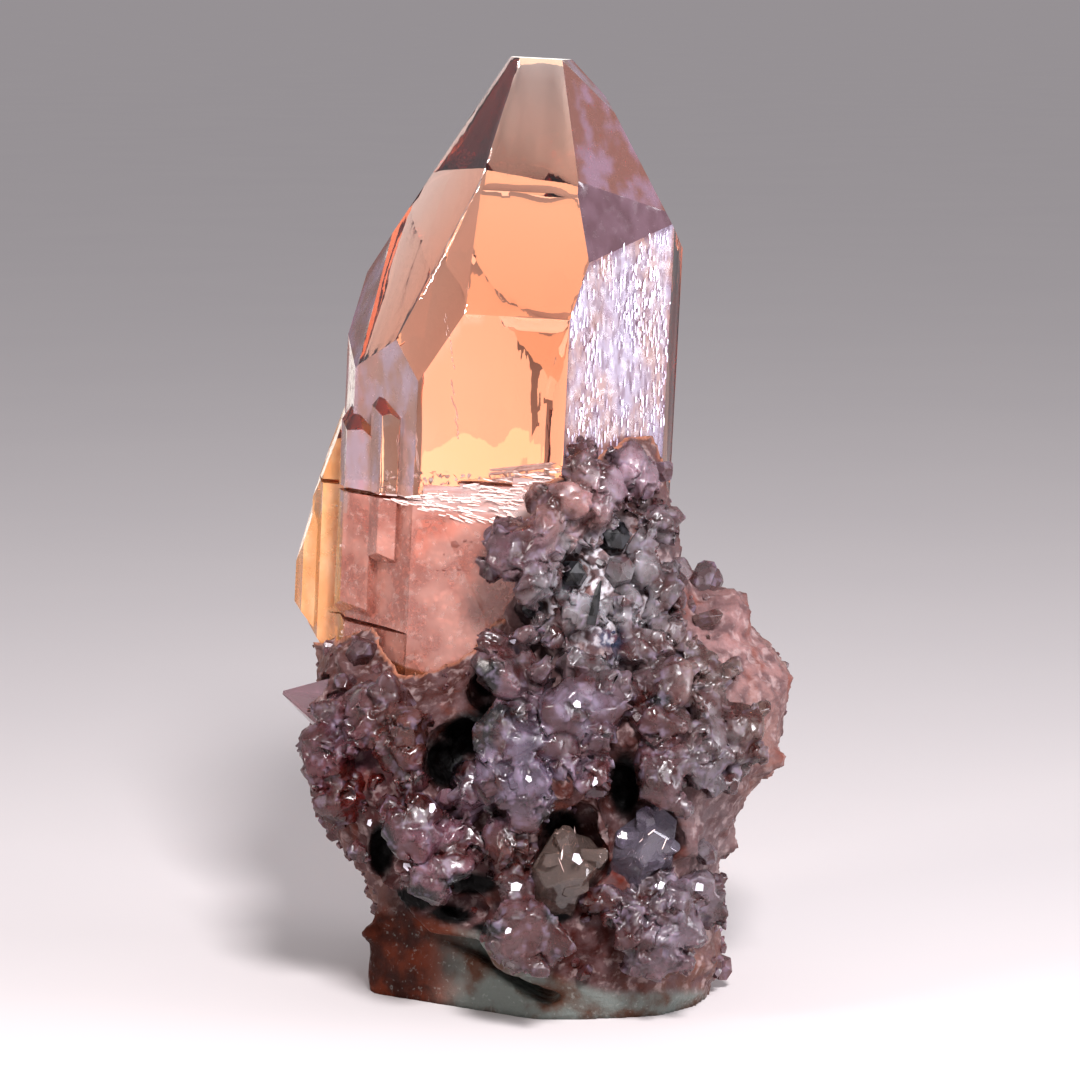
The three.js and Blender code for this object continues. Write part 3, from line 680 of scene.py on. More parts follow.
def relief_height(point, normal, across, prism):
    """How far the crystal's surface stands out: growth lines, steps and, on one face, pits."""
    u = point.dot(across)
    v = point.dot(CRYSTAL_AXIS)
    frosted = smooth_step(normal.dot(FROSTED), 0.985, 0.995)
    lines = noise.noise((u * 2.6, v * 0.06, 3.1)) * 0.035
    waves = noise.noise((u * 0.5, v * 0.25, 7.7)) * 0.05
    pits = -abs(noise.noise((u * 2.4, v * 0.9, 1.3))) * 0.16 * frosted
    return (lines if prism else lines * 0.2) + waves + pits


def topaz_mesh():
    """The frame's crystal with narrow worn edges and natural relief on its larger faces."""
    bm = bmesh.new()
    bm.from_mesh(node_mesh("topaz_crystal"))
    bmesh.ops.scale(bm, vec=(1 / MM,) * 3, verts=bm.verts)
    bmesh.ops.remove_doubles(bm, verts=bm.verts, dist=1e-4)
    bmesh.ops.dissolve_limit(bm, angle_limit=math.radians(0.8), verts=bm.verts, edges=bm.edges)
    sharp = [e for e in bm.edges if e.is_manifold and e.calc_face_angle() > 0.08 and e.is_convex]
    bmesh.ops.bevel(bm, geom=sharp, offset=0.07, segments=1, affect="EDGES", clamp_overlap=True)
    side = bm.faces.layers.int.new("side")
    large = [f for f in bm.faces if f.calc_area() > 5 and f.calc_center_median().z > 14]
    shapes = []
    for index, face in enumerate(large, start=1):
        face[side] = index
        normal = face.normal.copy()
        across = normal.cross(CRYSTAL_AXIS)
        if across.length < 0.1:
            continue
        across.normalize()
        shapes.append((index, normal, across))
    for index, normal, across in shapes:
        down = across.cross(normal).normalized()
        fine = 0.6 if normal.dot(FROSTED) > 0.99 else 1
        slice_face(bm, side, index, normal, across, SLICE_ACROSS * fine, 0.1)
        slice_face(bm, side, index, normal, down, SLICE_ALONG * fine * fine, 0.1)
    by_index = {index: (normal, across) for index, normal, across in shapes}
    for vert in bm.verts:
        sides = {f[side] for f in vert.link_faces}
        if len(sides) == 1 and sides != {0}:
            normal, across = by_index[sides.pop()]
            prism = abs(normal.dot(CRYSTAL_AXIS)) < 0.15
            vert.co += normal * (relief_height(vert.co, normal, across, prism) - 0.03)
    kinds = []
    for face in bm.faces:
        middle = face.calc_center_median()
        ragged = 0.4 * noise.noise(middle * 0.7)
        front = middle.y < SHIFT.y - 2
        level = (MILKY_BELOW + MILKY_RISE * min(middle.x, 0) if front else MILKY_BEHIND) + ragged
        if face.normal.dot(FROSTED) > 0.97:
            kinds.append(2)
        elif face.normal.x > 0.4 and 0.36 < face.normal.z < 0.8:
            kinds.append(6)
        # A right-hand face: coloured dark violet as painted shade, over a thin frosting
        elif face.normal.x > 0.4 and 0.2 < face.normal.z < 0.36:
            kinds.append(4)
        # Narrow bevel faces beside the frosted face: painted near white as an edge highlight
        elif face[side] == 0 and middle.z > 30 and face.normal.dot(FROSTED) > 0.8:
            kinds.append(5)
        elif middle.x < MILKY_FROM and middle.z < 37:
            kinds.append(7)
        elif face.normal.x < -0.8 and 0.3 < face.normal.z < 0.5 and face.normal.y > -0.36:
            kinds.append(6)
        elif middle.z < level and middle.x > MILKY_FROM:
            kinds.append(1)
        elif face.normal.x < -0.6 and face.normal.z < 0.3 and 30 < middle.z < 44:
            kinds.append(3)
        else:
            kinds.append(0)
    for face in bm.faces:
        face.smooth = face[side] > 0
    for edge in bm.edges:
        edge.smooth = edge.is_manifold and edge.calc_face_angle() < 0.3
    bmesh.ops.scale(bm, vec=(MM,) * 3, verts=bm.verts)
    mesh = bpy.data.meshes.new("topaz_body")
    bm.to_mesh(mesh)
    bm.free()
    return mesh, kinds


# The rock


def rock_mesh(topaz):
    """The frame's rock with its small crystals worn down, grain on its surface and its zones."""
    mesh = remeshed(node_mesh("matrix_rock"), ROCK_VOXEL, 9)
    corners = corners_of(mesh)
    normals = normals_of(mesh)
    slab = on_slab(corners)
    grain = []
    for point in corners:
        coarse = noise.fractal(Vector(point) * 0.9, 1.0, 2.0, 3)
        fine = noise.noise(Vector(point) * 3.1) + 0.6 * noise.noise(Vector(point) * 6.3)
        grain.append(0.3 * coarse + 0.11 * fine)
    reach = []
    for point, normal in zip(map(Vector, corners), normals):
        place, _, _, far = topaz.find_nearest(point)
        reach.append(far if (place - point).dot(normal) > 0 else math.inf)
    reach = np.array(reach)
    out = (np.array(grain) - 0.25) * (1 - 0.85 * slab) * smooth_step(reach, 0.4, 1.0)
    base = corners[:, 2] < 0.25
    out[base] = 0
    corners = corners + normals * out[:, None]
    corners[base, 2] = 0
    mesh.vertices.foreach_set("co", (inside_box(corners) * MM).ravel())
    for polygon in mesh.polygons:
        polygon.use_smooth = True
    paint(mesh, "tint", zone_colours(corners, ROCK_TINT, ROCK_ZONES))
    mark(mesh, "slab", slab)
    # Painted shade: how deep each point lies in the pockets painted black
    mark(mesh, "shaded_pocket", in_pockets(corners))
    x, _ = seen_places(corners)
    mark(mesh, "chalk", crust_share(corners))
    mark(mesh, "rust", 1 - smooth_step(x, -7.5, -3.5))
    # Painted light: how close each point faces the crystal's foot, for the pale pink-brown laid there
    mark(mesh, "socket", 1 - smooth_step(reach, 0.6, 0.9))
    return mesh


# The small crystals

FORMS = 18
FUSED_VOXEL = 0.18
FACET_CELL = 1.9

# How deep the crystals' own colours are, and how much painted shade darkens their hollows and painted light brightens
# their high points, for each mm
CRYSTAL_DEPTH = 0.47
DEEP_SHADE = 1.5
# Red-brown painted shade laid into the hollows of the fused crystals
HOLLOW_SHADE_TINT = "#3a1a15"
POWDER_TINT = "#a8a3a8"
PRISM_SIDES = 6


def crystal_form(rng, worn):
    """Corners and faces of one irregular quartz crystal of about width 1 and height 1."""
    bm = bmesh.new()
    bmesh.ops.create_cube(bm, size=4)
    start = rng.uniform(0, TAU)
    cuts = [(Vector((0, 0, 1)), rng.uniform(0.85, 1.1)), (Vector((0, 0, -1)), 0.5)]
    for i in range(PRISM_SIDES):
        angle = start + (i + rng.uniform(-0.12, 0.12)) * TAU / PRISM_SIDES
        outward = Vector((math.cos(angle), math.sin(angle), rng.uniform(-0.06, 0.1)))
        cuts.append((outward.normalized(), rng.uniform(0.38, 0.52)))
        slope = rng.uniform(0.7, 1.3)
        lean = Vector((math.cos(angle), math.sin(angle), slope)).normalized()
        cuts.append((lean, (0.45 + rng.uniform(0.25, 0.75) * slope) / math.hypot(1, slope)))
    for normal, far in cuts:
        whole = [*bm.verts, *bm.edges, *bm.faces]
        cut = bmesh.ops.bisect_plane(
            bm, geom=whole, dist=1e-5, plane_co=normal * far, plane_no=normal, clear_outer=True
        )
        rim = [item for item in cut["geom_cut"] if isinstance(item, bmesh.types.BMEdge)]
        if rim:
            bmesh.ops.contextual_create(bm, geom=rim)
    if worn:
        bmesh.ops.bevel(bm, geom=list(bm.edges), offset=worn, segments=1, affect="EDGES", clamp_overlap=True)
    bm.verts.index_update()
    corners = np.array([v.co[:] for v in bm.verts])
    faces = [tuple(v.index for v in f.verts) for f in bm.faces]
    bm.free()
    return corners, faces


def crystal_mesh(name, spots, seed, worn=0.0):
    """One joined mesh of small crystals. A spot is a point, a direction, a width and a height."""
    rng = np.random.default_rng(seed)
    forms = [crystal_form(rng, worn) for _ in range(FORMS)]
    corners = []
    faces = []
    tints = []
    start = 0
    own = zone_colours(np.array([spot[0] for spot in spots]), CRYSTAL_TINT, CRYSTAL_ZONES)
    for (point, direction, width, height), colour in zip(spots, own):
        form, form_faces = forms[rng.integers(FORMS)]
        spin = Quaternion((0, 0, 1), rng.uniform(0, TAU))
        turn = direction.to_track_quat("Z", "Y") @ spin
        size = np.array([width, width * rng.uniform(0.75, 1.0), 1])
        shaped = form * size
        shaped[:, 2] *= np.where(form[:, 2] > 0, height, width)
        corners.append(shaped @ np.array(turn.to_matrix()).T + np.array(point))
        faces.extend(tuple(start + i for i in face) for face in form_faces)
        tints.append(np.tile(colour * CRYSTAL_DEPTH * rng.uniform(0.6, 1.4), (len(form), 1)))
        start += len(form)
    mesh = mesh_from(name, inside_box(np.vstack(corners)), faces)
    paint(mesh, "tint", np.clip(np.vstack(tints), 0, 1))
    return mesh


def facet_height(point, size):
    """Height of a surface made of tilted crystal faces about this size, at a point on it."""
    place = point / size
    far, centres = noise.voronoi(place)
    tilt = noise.noise_vector(centres[0] * 3.7)
    return size * (0.35 * (0.5 - far[0]) + 0.55 * (place - centres[0]).dot(tilt))


def faceted(corners, normals, size):
    """Points moved onto flat faces, one for those of a cell that look the same way."""
    cells = np.round([noise.voronoi(Vector(point) / size)[1][0][:] for point in corners], 3)
    centres, cell = np.unique(cells, axis=0, return_inverse=True)
    cell = cell.ravel()
    axes = [[noise.noise_vector(Vector(c) * f)[:] for f in (3.7, 5.3, 7.1)] for c in centres]
    looks = np.einsum("nij,nj->ni", np.array(axes)[cell], normals) > 0
    face = cell * 8 + looks @ np.array([1, 2, 4])
    count = np.maximum(np.bincount(face), 1)
    middle = np.stack([np.bincount(face, corners[:, i]) / count for i in range(3)], axis=1)
    facing = np.stack([np.bincount(face, normals[:, i]) for i in range(3)], axis=1)
    facing /= np.maximum(np.linalg.norm(facing, axis=1), 1e-6)[:, None]
    off = ((corners - middle[face]) * facing[face]).sum(axis=1)
    return corners - facing[face] * np.clip(0.92 * off, -0.45, 0.45)[:, None], face


def fused_mesh(name, spots, seed):
    """Crystals grown together into one lumpy mass whose surface is all small crystal faces."""
    mesh = remeshed(crystal_mesh(name + "_loose", spots, seed), FUSED_VOXEL, 2)
    mesh.name = name
    loose = corners_of(mesh)
    corners, face = faceted(loose, normals_of(mesh), FACET_CELL)
    tones = np.random.default_rng(seed + 1).uniform(0.7, 1.35, face.max() + 1)
    out = []
    shade = []
    for point in map(Vector, corners):
        out.append(0.6 * facet_height(point, 2.1))
        shade.append(1 + 0.35 * noise.noise(point * 0.6) + 0.25 * noise.noise(point * 1.7))
    corners = inside_box(corners + normals_of(mesh) * np.array(out)[:, None])
    mesh.vertices.foreach_set("co", (corners * MM).ravel())
    out = np.array(out)
    # Painted shade and light: points below the faceted surface are darker and points above it lighter, by DEEP_SHADE
    # for each mm; the hollows are also painted red-brown shade
    shade = (np.array(shade) + DEEP_SHADE * out) * tones[face]
    colours = zone_colours(corners, CRYSTAL_TINT, CRYSTAL_ZONES) * CRYSTAL_DEPTH * shade[:, None]
    hollow_shade = 0.7 * smooth_step(-out, 0.0, 0.3)[:, None]
    colours = colours * (1 - hollow_shade) + np.array(tint(HOLLOW_SHADE_TINT)) * hollow_shade
    powder = 0.85 * (crust_share(corners) * smooth_step(-out, -0.12, 0.1))[:, None]
    colours = colours * (1 - powder) + np.array(tint(POWDER_TINT)) * powder
    # Painted shade: crystals in the deep pockets are darkened almost to black
    colours = colours * (1 - 0.95 * in_pockets(corners))[:, None]
    paint(mesh, "tint", np.clip(colours, 0, 1))
    for polygon in mesh.polygons:
        polygon.use_smooth = True
    return mesh


# Clear crystals that are pieces of their own: name, seed, absorption and surface tone
CLEAR_CRYSTALS = [
    ("clear_crystal_low", 41, (0.8, 0.62, 0.58), 70.0, "#a08a80"),
    ("clear_crystal_right", 43, (0.78, 0.66, 0.76), 50.0, "#a096a6"),
    ("side_crystal", 47, (0.85, 0.5, 0.58), 70.0, "#dfb8c0"),
]


def pointed_mesh(name):
    """One of the frame's clear crystals with worn edges."""
    bm = bmesh.new()
    bm.from_mesh(node_mesh(name))
    bmesh.ops.scale(bm, vec=(1 / MM,) * 3, verts=bm.verts)
    bmesh.ops.remove_doubles(bm, verts=bm.verts, dist=1e-4)
    bmesh.ops.dissolve_limit(bm, angle_limit=0.02, verts=bm.verts, edges=bm.edges)
    bmesh.ops.bevel(bm, geom=list(bm.edges), offset=0.06, segments=2, affect="EDGES", clamp_overlap=True)
    bmesh.ops.scale(bm, vec=(MM,) * 3, verts=bm.verts)
    mesh = bpy.data.meshes.new(name + "_body")
    bm.to_mesh(mesh)
    bm.free()
    return mesh


def cluster_mesh(name, seed):
    """One of the frame's clear crystals as a main point with smaller ones grown round it."""
    rng = np.random.default_rng(seed)
    corners = corners_of(node_mesh(name))
    low, high = corners.min(axis=0), corners.max(axis=0)
    reach = CLUSTER_GROWTH * float((high - low).min()) / 2
    middle = Vector((low + high) / 2)
    upright = Vector((rng.uniform(-0.3, 0.3), -0.7, 0.7)).normalized()
    spots = [(middle - upright * reach * 0.5, upright, reach * 1.8, reach * 1.3)]
    for i in range(CLUSTER_SMALL):
        angle = (i + rng.uniform(-0.2, 0.2)) * TAU / CLUSTER_SMALL
        side = Vector((math.cos(angle), -0.4, math.sin(angle))).normalized()
        width = reach * rng.uniform(0.45, 0.75)
        spots.append((middle + side * reach * 0.55, side, width, reach * rng.uniform(0.3, 0.45)))
    return crystal_mesh(name + "_body", spots, seed, 0.02)


def front_spots(guide, clear, rng):
    """The larger crystals of the front with the smaller ones that lean on them."""
    spots = []
    for x, z, width, right, up in FRONT_CRYSTALS:
        aim = Vector((x, 0, z)) + SHIFT
        if in_pockets(np.array([aim + Vector((0, -9, 0))]))[0] > 0.6:
            continue
        point, normal, _, _ = guide.ray_cast(EYE, (aim - EYE).normalized())
        if point is None or clear.find_nearest(point, width * 0.3)[0] is not None:
            continue
        direction = (normal + Vector((right, -0.3, up))).normalized()
        wide = width * 1.12
        spots.append((point, direction, wide, width * rng.uniform(0.6, 0.85)))
        sideways = direction.orthogonal()
        for _ in range(rng.integers(3, 6)):
            sideways.rotate(Quaternion(direction, rng.uniform(0.9, 2.0)))
            beside = point + sideways * wide * rng.uniform(0.35, 0.6) - direction * wide * 0.12
            tilt = (direction + sideways * rng.uniform(0.2, 0.9)).normalized()
            small = wide * rng.uniform(0.35, 0.65)
            high = small * rng.uniform(0.6, 1.0)
            free = clear.find_nearest(beside, 0.5)[0] is None
            if free and in_pockets(np.array([beside]))[0] < 0.3:
                spots.append((beside, tilt, small, high))
    return spots


def spread_spots(mesh, kept_free, count, narrowest, widest, seed, on_front, elsewhere):
    """Spots spread over the rock by area, thick on the front and in patches elsewhere."""
    rng = np.random.default_rng(seed)
    corners = corners_of(mesh)
    mesh.calc_loop_triangles()
    triangles = np.array([t.vertices[:] for t in mesh.loop_triangles])
    a, b, c = (corners[triangles[:, i]] for i in range(3))
    cross = np.cross(b - a, c - a)
    area = np.linalg.norm(cross, axis=1)
    chosen = rng.choice(len(triangles), count, p=area / area.sum())
    share = np.sqrt(rng.random(count))[:, None]
    other = rng.random(count)[:, None]
    points = a[chosen] * (1 - share) + b[chosen] * share * (1 - other) + c[chosen] * share * other
    normals = cross[chosen] / area[chosen][:, None]
    slab = on_slab(points)
    shaded_pocket = in_pockets(points)
    front = 1 - smooth_step(points[:, 1], -6, 0)
    seen_x, seen_z = seen_places(points)
    bare = smooth_step(seen_x, 9.4, 11.4) * smooth_step(seen_z, 5, 8)
    keep = front * on_front + (1 - front) * elsewhere
    keep = keep * (1 - shaded_pocket) * (1 - slab) * (1 - 0.9 * bare)
    luck = rng.random(count)
    widths = narrowest + (widest - narrowest) * rng.random(count) ** 2
    heights = widths * rng.uniform(0.5, 1.0, count)
    tilts = rng.uniform(-0.55, 0.55, (count, 3))
    spots = []
    for i in range(count):
        point = Vector(points[i])
        normal = Vector(normals[i])
        patch = 0.5 + 0.9 * noise.noise(point * 0.22)
        clump = smooth_step(noise.noise(point * 0.55), -0.3, 0.1)
        chance = keep[i] * (clump if front[i] > 0.5 else patch)
        hidden = normal.z < -0.75 or point.z < 0.9
        near = any(tree.find_nearest(point, 0.9)[0] for tree in kept_free)
        if luck[i] < chance and not hidden and not near:
            spots.append((point, (normal + Vector(tilts[i])).normalized(), widths[i], heights[i]))
    return spots


# What lies inside the main crystal and on its frosted face

FLAKE_SIDES = 5
FLAKE_FACES = [
    *[(i, (i + 1) % FLAKE_SIDES, FLAKE_SIDES) for i in range(FLAKE_SIDES)],
    *[((i + 1) % FLAKE_SIDES, i, FLAKE_SIDES + 1) for i in range(FLAKE_SIDES)],
]


def flakes(name, spots, seed, material):
    """One joined piece of thin flakes: point, long way, normal, length, width and thickness."""
    rng = np.random.default_rng(seed)
    corners = []
    faces = []
    for point, along, normal, length, width, thick in spots:
        along = (along - normal * along.dot(normal)).normalized()
        across = normal.cross(along)
        start = len(corners)
        for i in range(FLAKE_SIDES):
            angle = (i + rng.uniform(-0.25, 0.25)) * TAU / FLAKE_SIDES
            out = along * math.cos(angle) * length / 2 + across * math.sin(angle) * width / 2
            corners.append(point + out)
        corners.extend([point + normal * thick / 2, point - normal * thick / 2])
        faces.extend(tuple(start + i for i in face) for face in FLAKE_FACES)
    return add_piece(name, mesh_from(name, inside_box(np.array(corners)), faces), material)


def is_within(tree, point, margin):
    place, normal, _, far = tree.find_nearest(point)
    return (point - place).dot(normal) < 0 and far > margin


def any_way(rng):
    return Vector(rng.normal(size=3)).normalized()


def under_front(tree, x, z, deep):
    """A point this deep inside the crystal, behind where its front is seen at x and z."""
    sight = (Vector((x, 0, z)) + SHIFT - EYE).normalized()
    place = tree.ray_cast(EYE, sight)[0]
    if place is None:
        return None
    point = place + sight * deep
    return point if deep == 0 or is_within(tree, point, 0.1) else None


def cleavage_spots(tree, rng):
    """Silvery breaks across the crystal, in streaks that fan out to the right."""
    spots = []
    for _ in range(BREAK_FLAKES):
        right = BREAK_RIGHT_LOW.lerp(BREAK_RIGHT_HIGH, rng.random())
        place = BREAK_LEFT.lerp(right, math.sqrt(rng.random()))
        deep = 0.2 + rng.exponential(BREAK_DEPTH) if rng.random() < 0.8 else 0
        point = under_front(tree, place.x, place.z, deep)
        if point and noise.noise(Vector((place.x * 0.5, 0, place.z * 2.2))) > -0.25:
            normal = (Vector((0.25, -0.7, 0.6)) + any_way(rng) * 0.3).normalized()
            length = rng.uniform(0.3, 1.7)
            width = rng.uniform(0.06, 0.22)
            spots.append((point, right - BREAK_LEFT, normal, length, width, 0.02))
    return spots


def haze_spots(tree, rng):
    """Fine healed breaks that cloud the lower part of the crystal under its front."""
    spots = []
    for _ in range(HAZE_FLAKES):
        x = rng.uniform(HAZE_LEFT, HAZE_RIGHT)
        z = rng.uniform(HAZE_BOTTOM, HAZE_TOP)
        point = under_front(tree, x, z, 0.3 + rng.exponential(HAZE_DEPTH))
        if point and noise.noise(point * 0.5) > -0.35:
            length = rng.uniform(0.12, 0.5)
            spots.append((point, any_way(rng), any_way(rng), length, length * 0.7, 0.02))
    return spots


def clear_break_spots(rng):
    """Bright streaks inside the clear crystals, side by side."""
    spots = []
    for name, _, _, _, _ in CLEAR_CRYSTALS:
        tree = tree_of(node_mesh(name))
        corners = corners_of(node_mesh(name))
        low, high = corners.min(axis=0), corners.max(axis=0)
        along = (Vector((0.5, 0, 1)) + any_way(rng) * 0.4).normalized()
        for _ in range(CLEAR_BREAKS):
            point = Vector(rng.uniform(low, high))
            if is_within(tree, point, 0.3):
                normal = (Vector((0.3, -0.8, 0.5)) + any_way(rng) * 0.5).normalized()
                length = rng.uniform(0.3, 1.3)
                spots.append((point, along, normal, length, rng.uniform(0.04, 0.12), 0.02))
    return spots


def painted_glint_spots(trees, rng):
    """Places for the painted glint plates, on whichever surface is seen first, turned towards the front."""
    spots = []
    for x, z, size in PAINTED_GLINTS:
        sight = (Vector((x, 0, z)) + SHIFT - EYE).normalized()
        hits = [hit for hit in (tree.ray_cast(EYE, sight) for tree in trees) if hit[0]]
        if not hits:
            continue
        place, normal, _, _ = min(hits, key=lambda hit: hit[3])
        facing = (normal + Vector((0, -1, 0.4))).normalized()
        spots.append((place + facing * 0.05, any_way(rng), facing, size, size * 0.75, 0.08))
    return spots


def speck_spots(tree, rng):
    spots = []
    for x, z, size in SPECKS:
        point = under_front(tree, x, z, 0)
        normal = Vector((0, -1, 0.1)).normalized()
        along = Vector((1, 0, rng.uniform(-0.5, 0.5)))
        spots.append((point, along, normal, size, size * rng.uniform(0.5, 0.8), 0.04))
    return spots


def thread_spots(tree, rng):
    """Bright threads inside the crystal, each along a straight line between two seen places."""
    spots = []
    for from_x, from_z, to_x, to_z, count, length in THREADS:
        for i in range(count):
            share = (i + rng.uniform(-0.3, 0.3)) / count
            x = from_x + (to_x - from_x) * share + rng.uniform(-0.1, 0.1)
            z = from_z + (to_z - from_z) * share
            place = under_front(tree, x, z, 0.9)
            if place is None:
                continue
            along = Vector((to_x - from_x, 0, to_z - from_z)).normalized()
            normal = Vector((0.2, -1, 0.5)).normalized()
            spots.append((place, along, normal, length, length * 0.2, 0.03))
    return spots


def frost_spots(tree, rng):
    """Etch pits and growth steps on the frosted face, drawn out along the crystal."""
    spots = []
    for _ in range(FROST_FLAKES):
        x = rng.uniform(1.6, 8.2)
        z = rng.uniform(30, 49)
        aim = Vector((x, 0, z)) + SHIFT
        place, normal, _, _ = tree.ray_cast(EYE, (aim - EYE).normalized())
        if place is None or normal.dot(FROSTED) < 0.97:
            continue
        thickness = noise.noise(Vector((x * 0.55, z * 0.25, 4))) + 0.06 * (x - 4)
        if thickness > rng.uniform(-0.35, 0.45):
            length = rng.uniform(0.15, 0.8)
            spots.append((place, CRYSTAL_AXIS, normal, length, rng.uniform(0.05, 0.16), 0.03))
    return spots


# Light, floor and camera


def softbox(name, place, size, power, colour, shape="SQUARE"):
    lamp = bpy.data.lights.new(name, "AREA")
    lamp.shape = shape
    lamp.size = size
    lamp.energy = power
    lamp.color = colour
    box = bpy.data.objects.new(name, lamp)
    bpy.context.scene.collection.objects.link(box)
    box.location = place
    box.rotation_euler = (AIM * MM - Vector(place)).to_track_quat("-Z", "Y").to_euler()
    return box


def build_world():
    world = bpy.data.worlds.new("studio")
    world.use_nodes = True
    shade = world.node_tree.nodes["Background"]
    shade.inputs["Color"].default_value = (0.88, 0.86, 0.92, 1)
    shade.inputs["Strength"].default_value = 0.55
    bpy.context.scene.world = world


def build_floor():
    size = 12
    mesh = bpy.data.meshes.new("floor")
    corners = [(-size, -size, 0), (size, -size, 0), (size, size, 0), (-size, size, 0)]
    mesh.from_pydata([(x, y, -0.00002) for x, y, _ in corners], [], [(0, 1, 2, 3)])
    mesh.materials.append(floor_material())
    floor = bpy.data.objects.new("floor", mesh)
    bpy.context.scene.collection.objects.link(floor)


def build_camera():
    lens = bpy.data.cameras.new("camera")
    lens.lens = LENS
    lens.sensor_width = SENSOR
    lens.clip_start = 0.01
    lens.clip_end = 20
    camera = bpy.data.objects.new("camera", lens)
    bpy.context.scene.collection.objects.link(camera)
    camera.location = EYE * MM
    camera.rotation_euler = (AIM - EYE).to_track_quat("-Z", "Y").to_euler()
    bpy.context.scene.camera = camera


def build_lights():
    softbox("key", (0.04, -0.21, 0.19), 0.05, 1.2, (1.0, 0.96, 1.0))
    softbox("side", (0.24, -0.07, 0.05), 0.12, 0.6, (0.94, 0.92, 1.0))
    softbox("fill", (-0.2, -0.14, 0.1), 0.05, 0.25, (1.0, 0.92, 0.9))
    behind = [
        softbox("back", (-0.03, 0.2, 0.03), 0.14, 0.075, (1.0, 0.95, 0.85)),
        softbox("card", (-0.002, 0.085, 0.009), 0.03, 0.0021, (1.0, 0.75, 0.45)),
    ]
    for box in behind:
        box.visible_camera = False
        box.visible_diffuse = False


build_world()
build_floor()
build_camera()
build_lights()

topaz_form, topaz_kinds = topaz_mesh()
topaz_piece = add_piece("topaz_body", topaz_form, clear_topaz())
topaz_form.materials.append(milky_topaz())
topaz_form.materials.append(frosted_topaz())
topaz_form.materials.append(veiled_topaz("topaz_veiled", 0.6, "#d9bcc6", "#cfa395"))
# Painted shade: dark violet, less clear colour for one right-hand face, over a thin frosting
topaz_form.materials.append(veiled_topaz("topaz_shaded_face", 0.3, "#664d56", "#573e45"))
# Painted highlight: near-white colour on the bevel faces by the frosted face, for the bright line of light along that
# edge
topaz_form.materials.append(veiled_topaz("topaz_edge_highlight", 0.3, "#fff6fa", "#efdfe6"))
topaz_form.materials.append(veiled_topaz("topaz_flecked", 0.6, "#a08090", "#8f6257"))
topaz_form.materials.append(veiled_topaz("topaz_flank", 0.6, "#ffc890", "#f2ac6c"))
topaz_form.polygons.foreach_set("material_index", topaz_kinds)
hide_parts("topaz_crystal")

topaz_tree = tree_of(node_mesh("topaz_crystal"))
rock_piece = add_piece("matrix_body", rock_mesh(topaz_tree), rock_material())
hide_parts("matrix_rock")

guide_mesh = remeshed(node_mesh("matrix_rock"), GUIDE_VOXEL, 8)
guide_tree = tree_of(guide_mesh)

clear_corners = []
clear_faces = []
for name, *_ in CLEAR_CRYSTALS:
    first = len(clear_corners)
    clear_corners.extend(corners_of(node_mesh(name)).tolist())
    clear_faces.extend([first + i for i in p.vertices] for p in node_mesh(name).polygons)
clear_tree = BVHTree.FromPolygons(clear_corners, clear_faces)
large = front_spots(guide_tree, clear_tree, np.random.default_rng(5))
add_piece("druse_large", fused_mesh("druse_large", large, 6), druse_material("druse_large", 0.45))
kept_free = [topaz_tree, clear_tree]
middle = spread_spots(guide_mesh, kept_free, 700, 0.8, 1.8, 8, 0.35, 0.7)
middle_mesh = crystal_mesh("druse_middle", middle, 9, 0.03)
add_piece("druse_middle", middle_mesh, druse_material("druse_middle", 0.4))
small = spread_spots(rock_piece.data, kept_free, 4200, 0.25, 0.7, 12, 0.3, 0.8)
add_piece("druse_small", crystal_mesh("druse_small", small, 13), druse_material("druse_small", 0.3))

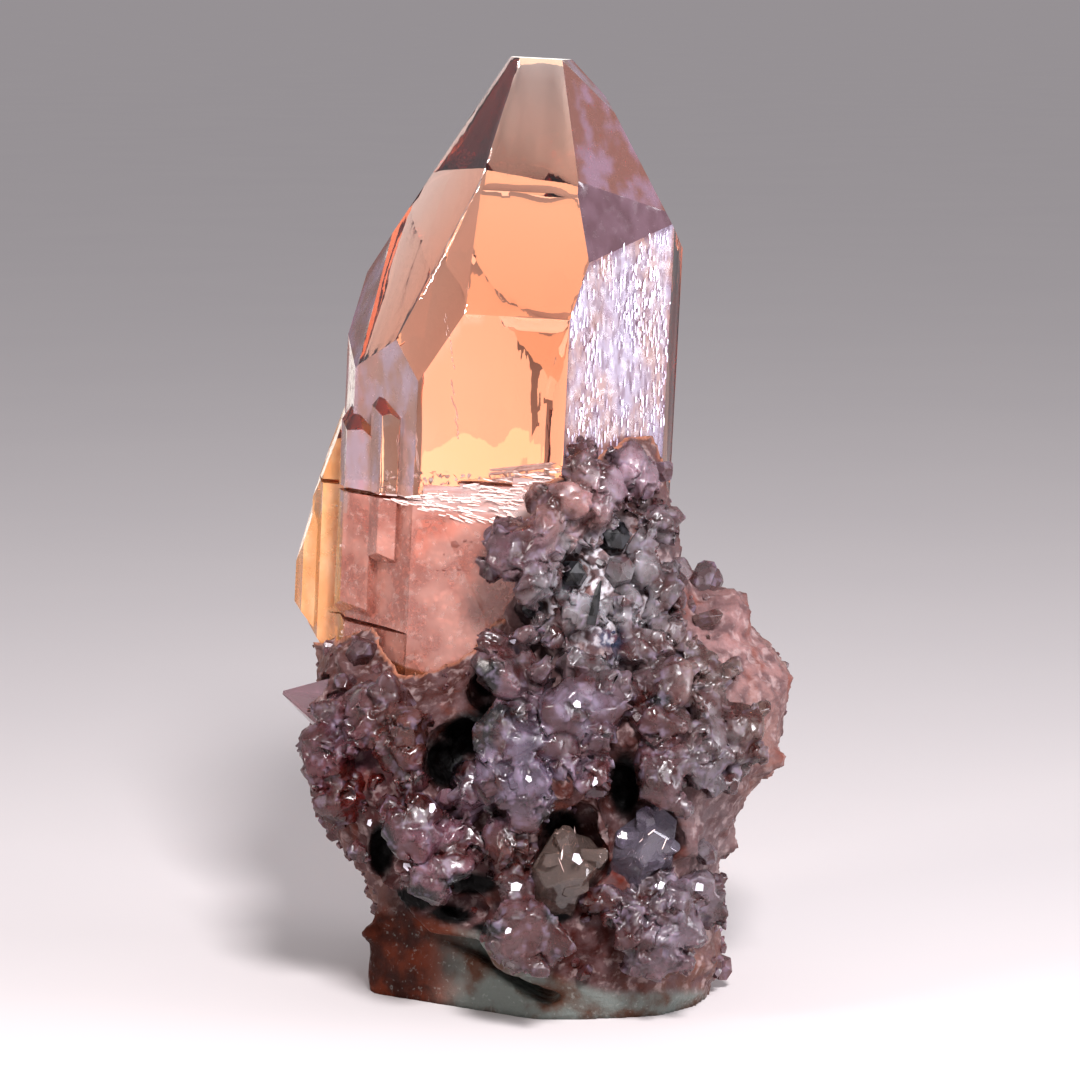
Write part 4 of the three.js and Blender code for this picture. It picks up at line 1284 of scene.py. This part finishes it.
silver = flake_material("silvery_breaks", "#fbe6e0", "#e9bdb0", 0.0, 0.15)
flakes("cleavage_breaks", cleavage_spots(topaz_tree, np.random.default_rng(21)), 22, silver)
flakes("bright_threads", thread_spots(topaz_tree, np.random.default_rng(23)), 24, silver)
brown = flake_material("brown_specks", "#5e2c22", "#7c4132", 0.0, 0.4)
flakes("brown_specks", speck_spots(topaz_tree, np.random.default_rng(33)), 34, brown)
haze = flake_material("haze", "#fff0e8", "#f6d6ca", 0.0, 0.4)
flakes("haze", haze_spots(topaz_tree, np.random.default_rng(25)), 26, haze)
clear_breaks = flakes("clear_breaks", clear_break_spots(np.random.default_rng(31)), 32, silver)
frost = flake_material("etched_steps", "#f1ecfb", "#d6c9ea", 0.3, 0.15)
flakes("etched_steps", frost_spots(topaz_tree, np.random.default_rng(27)), 28, frost)

seen_trees = [tree_of(bpy.data.objects["druse_large"].data), clear_tree, tree_of(rock_piece.data)]
# Painted highlights: near-white, slightly metallic plates that stand in for glints on the crystal faces
bright = flake_material("painted_glints", "#f6f1f8", "#d8cfe0", 0.2, 0.1)
flakes("painted_glints", painted_glint_spots(seen_trees, np.random.default_rng(35)), 36, bright)

for name, seed, colour, density, tone in CLEAR_CRYSTALS:
    form = pointed_mesh(name) if name == "side_crystal" else cluster_mesh(name, seed)
    clear = add_piece(name + "_body", form, clear_material(name, colour, density, tone))
    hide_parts(name)

black = black_material()
needle_sight = (NEEDLE_FOOT + SHIFT - EYE).normalized()
needle_foot = min((hit for hit in (t.ray_cast(EYE, needle_sight) for t in seen_trees) if hit[0]), key=lambda h: h[3])[0]
needle_way = (NEEDLE_TOP - NEEDLE_FOOT).normalized()
needle_form = crystal_mesh("dark_needle", [(needle_foot + Vector((0, -0.25, 0)), needle_way, 0.5, 3.2)], 37)
add_piece("dark_needle", needle_form, black)
for name in ("black_crystal_high", "black_crystal_middle", "black_crystal_left", "black_crystal_low"):
    node_mesh(name).materials.clear()
    node_mesh(name).materials.append(black)

bpy.context.scene.view_settings.view_transform = "Standard"

for mesh in list(bpy.data.meshes):
    if mesh.users == 0:
        bpy.data.meshes.remove(mesh)
